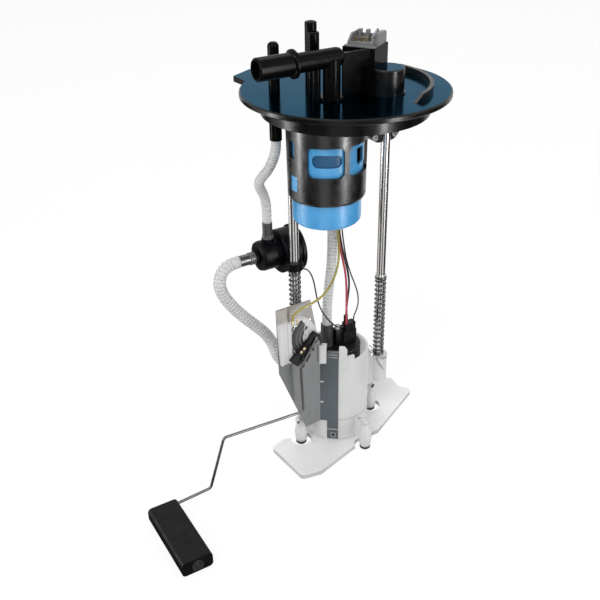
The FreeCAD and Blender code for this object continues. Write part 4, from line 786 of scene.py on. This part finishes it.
class PUMPMODULE_OT_rods(bpy.types.Operator):
    """Finish the guide rods and the rod bracket"""
    bl_idname = "pumpmodule.rods"
    bl_label = "Guide rods"

    def execute(self, context):
        steel = context.scene.metal_colours.steel
        paint(drawn("polished rod", steel, 0.20, (1, 1, 0.02), spread=0.02), "guide_rod_left",
              "guide_rod_right")
        paint(moulded("bracket black", context.scene.plastic_colours.black, 0.35, Specular_IOR_Level=0.2),
              "rod_bracket")
        paint(drawn("bright steel", steel, 0.3, (1, 0.5, 1)), "spring_washer_right", "spring_end_clip")
        paint(drawn("dark steel", (0.26, 0.25, 0.24), 0.30, (1, 0.5, 1)), "bracket_screws")
        return {"FINISHED"}


class PUMPMODULE_OT_regulator(bpy.types.Operator):
    """Finish the pressure regulator and its soft sleeves"""
    bl_idname = "pumpmodule.regulator"
    bl_label = "Regulator"

    def execute(self, context):
        paint(moulded("regulator black", (0.0018, 0.0022, 0.0030), 0.40, Specular_IOR_Level=0.08),
              "regulator_body", "regulator_cover", "regulator_clip")
        paint(moulded("dark sleeve", (0.050, 0.050, 0.053), 0.30, spread=0.45, Coat_Weight=0.12),
              "regulator_inlet_sleeve", "regulator_outlet_sleeve", "pump_outlet_sleeve")
        bm = bmesh.new()
        for x in (-56.8, -58.6, -60.4):
            add_ring(bm, (x, 44.0, -134.2), 4.7, 1.1, (1, 0, 0))
        for z in (-119.4, -117.8):
            add_ring(bm, (-43.2, 44.0, z), 4.1, 0.9, (0, 0, 1))
        add_detail("sleeve_rings", bm, moulded("grey ring", (0.11, 0.11, 0.11), 0.35), "flange",
                   "grey_plastic")
        return {"FINISHED"}


class PUMPMODULE_OT_pump(bpy.types.Operator):
    """Finish the pump, its plug and the pieces sealed in the bucket"""
    bl_idname = "pumpmodule.pump"
    bl_label = "Pump"

    def execute(self, context):
        paint(drawn("pump can", context.scene.metal_colours.steel, 0.25, (1, 1, 0.05)), "pump_can")
        black = moulded("pump black", context.scene.plastic_colours.black, 0.4, Specular_IOR_Level=0.2)
        paint(black, "pump_cap", "pump_connector")
        paint(drawn("copper winding", (0.60, 0.28, 0.14), 0.35, (1, 1, 0.05)), "pump_armature")
        paint(moulded("impeller resin", (0.03, 0.025, 0.02), 0.5), "pump_impeller")
        paint(moulded("black rubber", (0.012, 0.012, 0.012), 0.6, grain=1600.0), "pump_isolator",
              "check_valve", "foot_tips")
        paint(moulded("strainer nylon", (0.7, 0.7, 0.66), 0.5), "inlet_strainer")
        bm = bmesh.new()
        add_box(bm, (3.6, 15.4, -222.0), (9.9, 22.0, -207.6))
        add_detail("plug_shoulder", bevelled(bm, 0.7), black, "reservoir", "black_plastic")
        bm = bmesh.new()
        add_box(bm, (4.0, 15.8, -207.6), (7.6, 18.4, -202.8))
        clear = moulded("clear clip", (0.55, 0.57, 0.60), 0.12, Transmission_Weight=0.5, Coat_Weight=0.5)
        add_detail("clear_clip", bevelled(bm, 0.5), clear, "reservoir", "white_plastic")
        return {"FINISHED"}


class PUMPMODULE_OT_reservoir(bpy.types.Operator):
    """Finish the reservoir, its base and the foot"""
    bl_idname = "pumpmodule.reservoir"
    bl_label = "Reservoir"

    def execute(self, context):
        colour = context.scene.plastic_colours.white
        white = moulded("milky white", colour, 0.38, spread=0.03, **milky(0.3, 0.004))
        tree = white.node_tree
        # Painted light: the cup's inside glows faintly, standing in for light that comes through the milky
        # wall.
        second_finish(white, at_radii(tree, TANK_AXIS, ROUND_Z, CUP_GLOW_RADII), colour, 0.42, spread=0.03,
                      Emission_Color=WHITE_LIGHT, Emission_Strength=0.22)
        second_finish(white, at_heights(tree, SEAM_HEIGHTS), scaled(colour, 0.62), 0.5, spread=0.03)
        paint(white, "reservoir_cup", "reservoir_base")
        # Painted light and shade: the foot is a lighter copy of the white, and its sides a darker copy.
        foot = moulded("foot white", scaled(colour, 1.25), 0.42, spread=0.03, **milky(0.3, 0.004))
        side = facing(foot.node_tree, "Z", LOOKS_SIDEWAYS)
        paint(second_finish(foot, side, scaled(colour, 0.80), 0.5), "foot_plate")
        bm = bmesh.new()
        add_ring(bm, (44.6, 17.6, -281.4), 2.6, 1.2, (0, 1, 0))
        add_ball(bm, (-36.1, 14.0, -285.3), 3.0, (0.8, 1.0, 1.25), 24, 14)
        add_detail("leg_knobs", bm, white, "reservoir", "white_plastic")
        # Painted shade: dark flattened balls stand for the shaded holes in the knobs.
        bm = bmesh.new()
        for centre, radius in (((-37.4, 11.4, -285.3), 1.1), ((44.6, 18.0, -281.4), 2.2)):
            add_ball(bm, centre, radius, (1.0, 0.35, 1.3), 16, 8)
        add_detail("knob_holes", bm, moulded("knob hole shade", (0.05, 0.05, 0.05), 0.6), "reservoir",
                   "white_plastic")
        steel = drawn("clip steel", context.scene.metal_colours.steel, 0.3, (1, 0.5, 1))
        add_detail("boss_wire", thin_wire(BOSS_WIRE_ROUTE, 1.3), steel, "reservoir", "spring_steel")
        return {"FINISHED"}


class PUMPMODULE_OT_sender(bpy.types.Operator):
    """Finish the level sender and its arm"""
    bl_idname = "pumpmodule.sender"
    bl_label = "Level sender"

    def execute(self, context):
        metal = context.scene.metal_colours
        zinc = drawn("zinc sheet", metal.zinc, 0.38, (1, 1, 0.3), spread=0.05)
        tree = zinc.node_tree
        # Painted shade: faces turned like the leaf take a darker, bluer zinc.
        second_finish(zinc, facing(tree, "X", LOOKS_LIKE_LEAF), (0.125, 0.140, 0.152), 0.34, spread=0.04,
                      Metallic=1.0)
        second_finish(zinc, at_heights(tree, BRACKET_TOP_HEIGHTS), (0.34, 0.325, 0.31), 0.36, spread=0.05,
                      Metallic=1.0)
        paint(zinc, "sender_bracket")
        paint(moulded("card white", (0.66, 0.66, 0.66), 0.4, spread=0.04), "sender_card")
        paint(ringed_ceramic(), "resistor_plate")
        paint(drawn("terminal brass", metal.brass, 0.28, (1, 1, 0.2)), "sender_terminals", "contact_rivets")
        holder = moulded("holder black", (0.006, 0.006, 0.006), 0.38, Specular_IOR_Level=0.3)
        paint(holder, "wiper_holder")
        paint(drawn("arm wire", (0.12, 0.118, 0.115), 0.45, (0.4, 0.4, 0.4), spread=0.02), "float_arm_wire",
              "float_washer")
        self.dress_bracket()
        self.dress_card()
        self.dress_holder(holder)
        return {"FINISHED"}

    def dress_bracket(self):
        """Pressed ribs, notches and the square stamp of the sheet, with a painted highlight on the ribs and
        stamp and painted shade in the stamp's hole.
        """
        # Painted highlight: the ribs and the stamp are a lighter copy of the zinc.
        bright = drawn("painted highlight zinc", (0.36, 0.37, 0.38), 0.30, (1, 1, 0.3))
        notch = moulded("bright notch", (0.75, 0.75, 0.75), 0.4)
        dark = moulded("stamp hole shade", (0.01, 0.01, 0.01), 0.5)
        ribs = [((-4.4, 4.4), (0.0, 0.5), (z, z + 1.0)) for z in (-218.6, -221.0)]
        ribs.append(((-4.7, 4.7), (0.0, 0.4), (-296.6, -295.2)))
        stamp = [((x, x + 0.8), (0.0, 0.5), (-304.6, -299.4)) for x in (-1.6, 2.2)]
        stamp += [((-0.8, 2.2), (0.0, 0.5), (z, z + 0.8)) for z in (-304.6, -300.2)]
        notches = [((-10.6, -7.8), (0.0, 0.45), (z, z + 1.0)) for z in (-246.4, -267.6)]
        # Painted shade: a dark block stands for the shaded hole in the stamp.
        hole = [((0.0, 1.5), (0.0, 0.3), (-302.9, -301.0))]
        pieces = (("bracket_ribs", ribs, 0.18, bright), ("bracket_stamp", stamp, 0.18, bright),
                  ("bracket_notches", notches, 0.18, notch), ("stamp_hole", hole, 0.1, dark))
        for name, boxes, edge, finish in pieces:
            bm = bmesh.new()
            for along, out, height in boxes:
                add_leaf_box(bm, along, out, height)
            add_detail(name, bevelled(bm, edge), finish, "reservoir", "zinc_sheet")

    def dress_card(self):
        """Silver contact edge and the white oval slot of the card."""
        edge = thin_wire([(x, CONTACT_EDGE_Y, z) for x, z in CONTACT_EDGE_ROUTE], 0.9)
        silver = drawn("silver contact", (0.22, 0.22, 0.21), 0.25, (1, 1, 0.4))
        add_detail("contact_edge", edge, silver, "reservoir", "brass")
        bm = bmesh.new()
        add_ring(bm, (-33.6, 2.0, -188.6), 3.2, 0.8, (0, 1, 0), (0.62, 1.0, 2.1))
        white = moulded("slot white", (0.70, 0.70, 0.70), 0.4)
        add_detail("card_slot", bm, white, "reservoir", "white_plastic")

    def dress_holder(self, holder):
        """Clips on both sides of the arm wire that hold it to its holder."""
        bm = bmesh.new()
        along_x, along_z = math.cos(HOLDER_TURN), math.sin(HOLDER_TURN)
        for along, across, reach in HOLDER_CLIPS:
            middle = Vector((PIVOT[0] + along * along_x - across * along_z, CLIP_Y,
                             PIVOT[2] + along * along_z + across * along_x))
            half = Vector((reach, CLIP_HALF, CLIP_HALF))
            add_box(bm, middle - half, middle + half, Matrix.Rotation(-HOLDER_TURN - CLIP_LEAN, 4, "Y"))
        add_detail("holder_clips", bevelled(bm, 0.3), holder, "float_arm", "black_plastic")


def ringed_ceramic():
    """Dark printed ceramic with lighter tracks round the pivot."""
    material = moulded("printed ceramic", (0.03, 0.03, 0.032), 0.35)
    for low, high, tone in TRACKS:
        track = at_radii(material.node_tree, PIVOT, ROUND_Y, (low, high))
        second_finish(material, track, (tone, tone, tone), 0.35)
    return material


class PUMPMODULE_OT_float(bpy.types.Operator):
    """Finish the float"""
    bl_idname = "pumpmodule.float"
    bl_label = "Float"

    def execute(self, context):
        paint(moulded("closed foam", context.scene.plastic_colours.foam, 0.55, spread=0.10, grain=1400.0,
                      depth=0.00003, Specular_IOR_Level=0.12), "float")
        return {"FINISHED"}


class PUMPMODULE_OT_studio(bpy.types.Operator):
    """Lay the floor and set the soft light"""
    bl_idname = "pumpmodule.studio"
    bl_label = "Studio"

    def execute(self, context):
        sizes = context.scene.studio_sizes
        bm = bmesh.new()
        bmesh.ops.create_grid(bm, x_segments=1, y_segments=1, size=sizes.floor / 2,
                              matrix=Matrix.Translation((0, 0, FLOOR_Z - FLOOR_DROP)))
        self.lay("floor", bm, floor_finish())
        context.scene.world = pale_world(sizes.ambient)
        lamps = (("key", (-0.9, -0.7, 0.9), (0.9, 1.4), sizes.key),
                 ("fill", (1.1, -0.9, 0.5), (0.8, 1.4), sizes.fill),
                 ("rear", (0.5, 0.9, 1.7), (1.0, 1.0), sizes.rear))
        for name, place, size, power in lamps:
            aim = Vector(LAMP_AIM) - Vector(place)
            self.hang_lamp(name, place, aim.to_track_quat("-Z", "Y").to_euler(), size, power)
        for number, (angle, distance, height, power) in enumerate(STREAKS):
            turn = math.radians(angle)
            place = (distance * math.cos(turn), distance * math.sin(turn), height)
            lamp = self.hang_lamp("streak_%d" % number, place,
                                  (math.pi / 2, 0.0, turn + math.pi / 2), STREAK_SIZE, power)
            lamp.visible_camera = False
            lamp.visible_diffuse = False
        for number, (start, width) in enumerate(DARK_CARDS):
            self.lay_dark_card(number, start, width)
        context.scene.view_settings.view_transform = "Standard"
        return {"FINISHED"}

    def hang_lamp(self, name, place, turn, size, power):
        """Hang a rectangular lamp in the studio."""
        light = bpy.data.lights.new(name, "AREA")
        light.shape = "RECTANGLE"
        light.size, light.size_y = size
        light.energy = power
        lamp = add_object(name, light)
        lamp.location = place
        lamp.rotation_euler = turn
        return lamp

    def lay(self, name, bm, finish):
        """Turn a bmesh into a thing of the studio."""
        thing = add_object(name, plain_mesh(bm, name, finish))
        return thing

    def lay_dark_card(self, number, start, width):
        """A dark fan on the floor that only shows in reflections."""
        bm = bmesh.new()
        verts = [bm.verts.new((radius, 0, FLOOR_Z + DARK_CARD_RISE)) for radius in DARK_CARD_RADII]
        bmesh.ops.spin(bm, geom=[bm.edges.new(verts)], cent=(0, 0, 0), axis=(0, 0, 1),
                       angle=math.radians(width), steps=12)
        bmesh.ops.rotate(bm, verts=bm.verts, cent=(0, 0, 0),
                         matrix=Matrix.Rotation(math.radians(start), 3, "Z"))
        card = self.lay("dark_card_%d" % number, bm, dark_card_finish())
        card.visible_camera = False
        card.visible_diffuse = False
        card.visible_shadow = False
        card.visible_transmission = False


def straight_rays(tree):
    """1 for what the camera sees, directly or through metal and glass."""
    path = add_node(tree, "ShaderNodeLightPath")
    plain = calculate(tree, "MAXIMUM", path.outputs["Is Camera Ray"], path.outputs["Is Glossy Ray"])
    return calculate(tree, "MAXIMUM", plain, path.outputs["Is Transmission Ray"])


def dark_card_finish():
    """Black cloth."""
    material, tree, shader = new_finish("black cloth")
    vary_colour(tree, shader, (0.010, 0.009, 0.008), 0.3, 20.0)
    set_inputs(shader, Roughness=0.9, Specular_IOR_Level=0.0)
    return material


def floor_finish():
    """White paper sweep that keeps a soft shadow."""
    material, tree, shader = new_finish("paper sweep")
    set_inputs(shader, Base_Color=(0.86, 0.86, 0.86, 1.0), Roughness=0.8, Specular_IOR_Level=0.1)
    glow = add_node(tree, "ShaderNodeEmission", Color=WHITE_LIGHT, Strength=1.05)
    share = calculate(tree, "MULTIPLY", straight_rays(tree), 0.84)
    mix_shaders(tree, share, shader.outputs["BSDF"], glow.outputs["Emission"],
                tree.nodes["Material Output"].inputs["Surface"])
    return material


def pale_world(ambient):
    """Even light, and white where the background shows."""
    world = bpy.data.worlds.new("pale room")
    world.use_nodes = True
    tree = world.node_tree
    even = tree.nodes["Background"]
    set_inputs(even, Color=WHITE_LIGHT, Strength=ambient)
    white = add_node(tree, "ShaderNodeBackground", Color=WHITE_LIGHT, Strength=1.0)
    mix_shaders(tree, straight_rays(tree), even.outputs["Background"], white.outputs["Background"],
                tree.nodes["World Output"].inputs["Surface"])
    return world


SETTINGS = (("hose_sizes", HoseSizes), ("lead_sizes", LeadSizes), ("spring_sizes", SpringSizes),
            ("plastic_colours", PlasticColours), ("lead_colours", LeadColours),
            ("metal_colours", MetalColours), ("studio_sizes", StudioSizes))
STEPS = (PUMPMODULE_OT_camera, PUMPMODULE_OT_hoses, PUMPMODULE_OT_leads, PUMPMODULE_OT_springs,
         PUMPMODULE_OT_flange, PUMPMODULE_OT_filter, PUMPMODULE_OT_rods, PUMPMODULE_OT_regulator,
         PUMPMODULE_OT_pump, PUMPMODULE_OT_reservoir, PUMPMODULE_OT_sender, PUMPMODULE_OT_float,
         PUMPMODULE_OT_studio)


class PUMPMODULE_PT_sidebar(bpy.types.Panel):
    """Lists the steps and their settings."""
    bl_idname = "PUMPMODULE_PT_sidebar"
    bl_label = "Fuel pump module"
    bl_space_type = "VIEW_3D"
    bl_region_type = "UI"
    bl_category = "Pump module"

    def draw(self, context):
        layout = self.layout
        for name, group in SETTINGS:
            box = layout.box()
            settings = getattr(context.scene, name)
            for field in group.__annotations__:
                box.prop(settings, field)
        for step in STEPS:
            layout.operator(step.bl_idname)


def register():
    """Make the settings, the steps and the panel known."""
    for name, group in SETTINGS:
        bpy.utils.register_class(group)
        setattr(bpy.types.Scene, name, PointerProperty(type=group))
    for step in STEPS:
        bpy.utils.register_class(step)
    bpy.utils.register_class(PUMPMODULE_PT_sidebar)


def unregister():
    """Take them away again."""
    bpy.utils.unregister_class(PUMPMODULE_PT_sidebar)
    for step in reversed(STEPS):
        bpy.utils.unregister_class(step)
    for name, group in reversed(SETTINGS):
        delattr(bpy.types.Scene, name)
        bpy.utils.unregister_class(group)


def main():
    """Run the steps."""
    register()
    bpy.ops.pumpmodule.camera()
    bpy.ops.pumpmodule.hoses()
    bpy.ops.pumpmodule.leads()
    bpy.ops.pumpmodule.springs()
    bpy.ops.pumpmodule.flange()
    bpy.ops.pumpmodule.filter()
    bpy.ops.pumpmodule.rods()
    bpy.ops.pumpmodule.regulator()
    bpy.ops.pumpmodule.pump()
    bpy.ops.pumpmodule.reservoir()
    bpy.ops.pumpmodule.sender()
    bpy.ops.pumpmodule.float()
    bpy.ops.pumpmodule.studio()


if __name__ == "__main__":
    main()
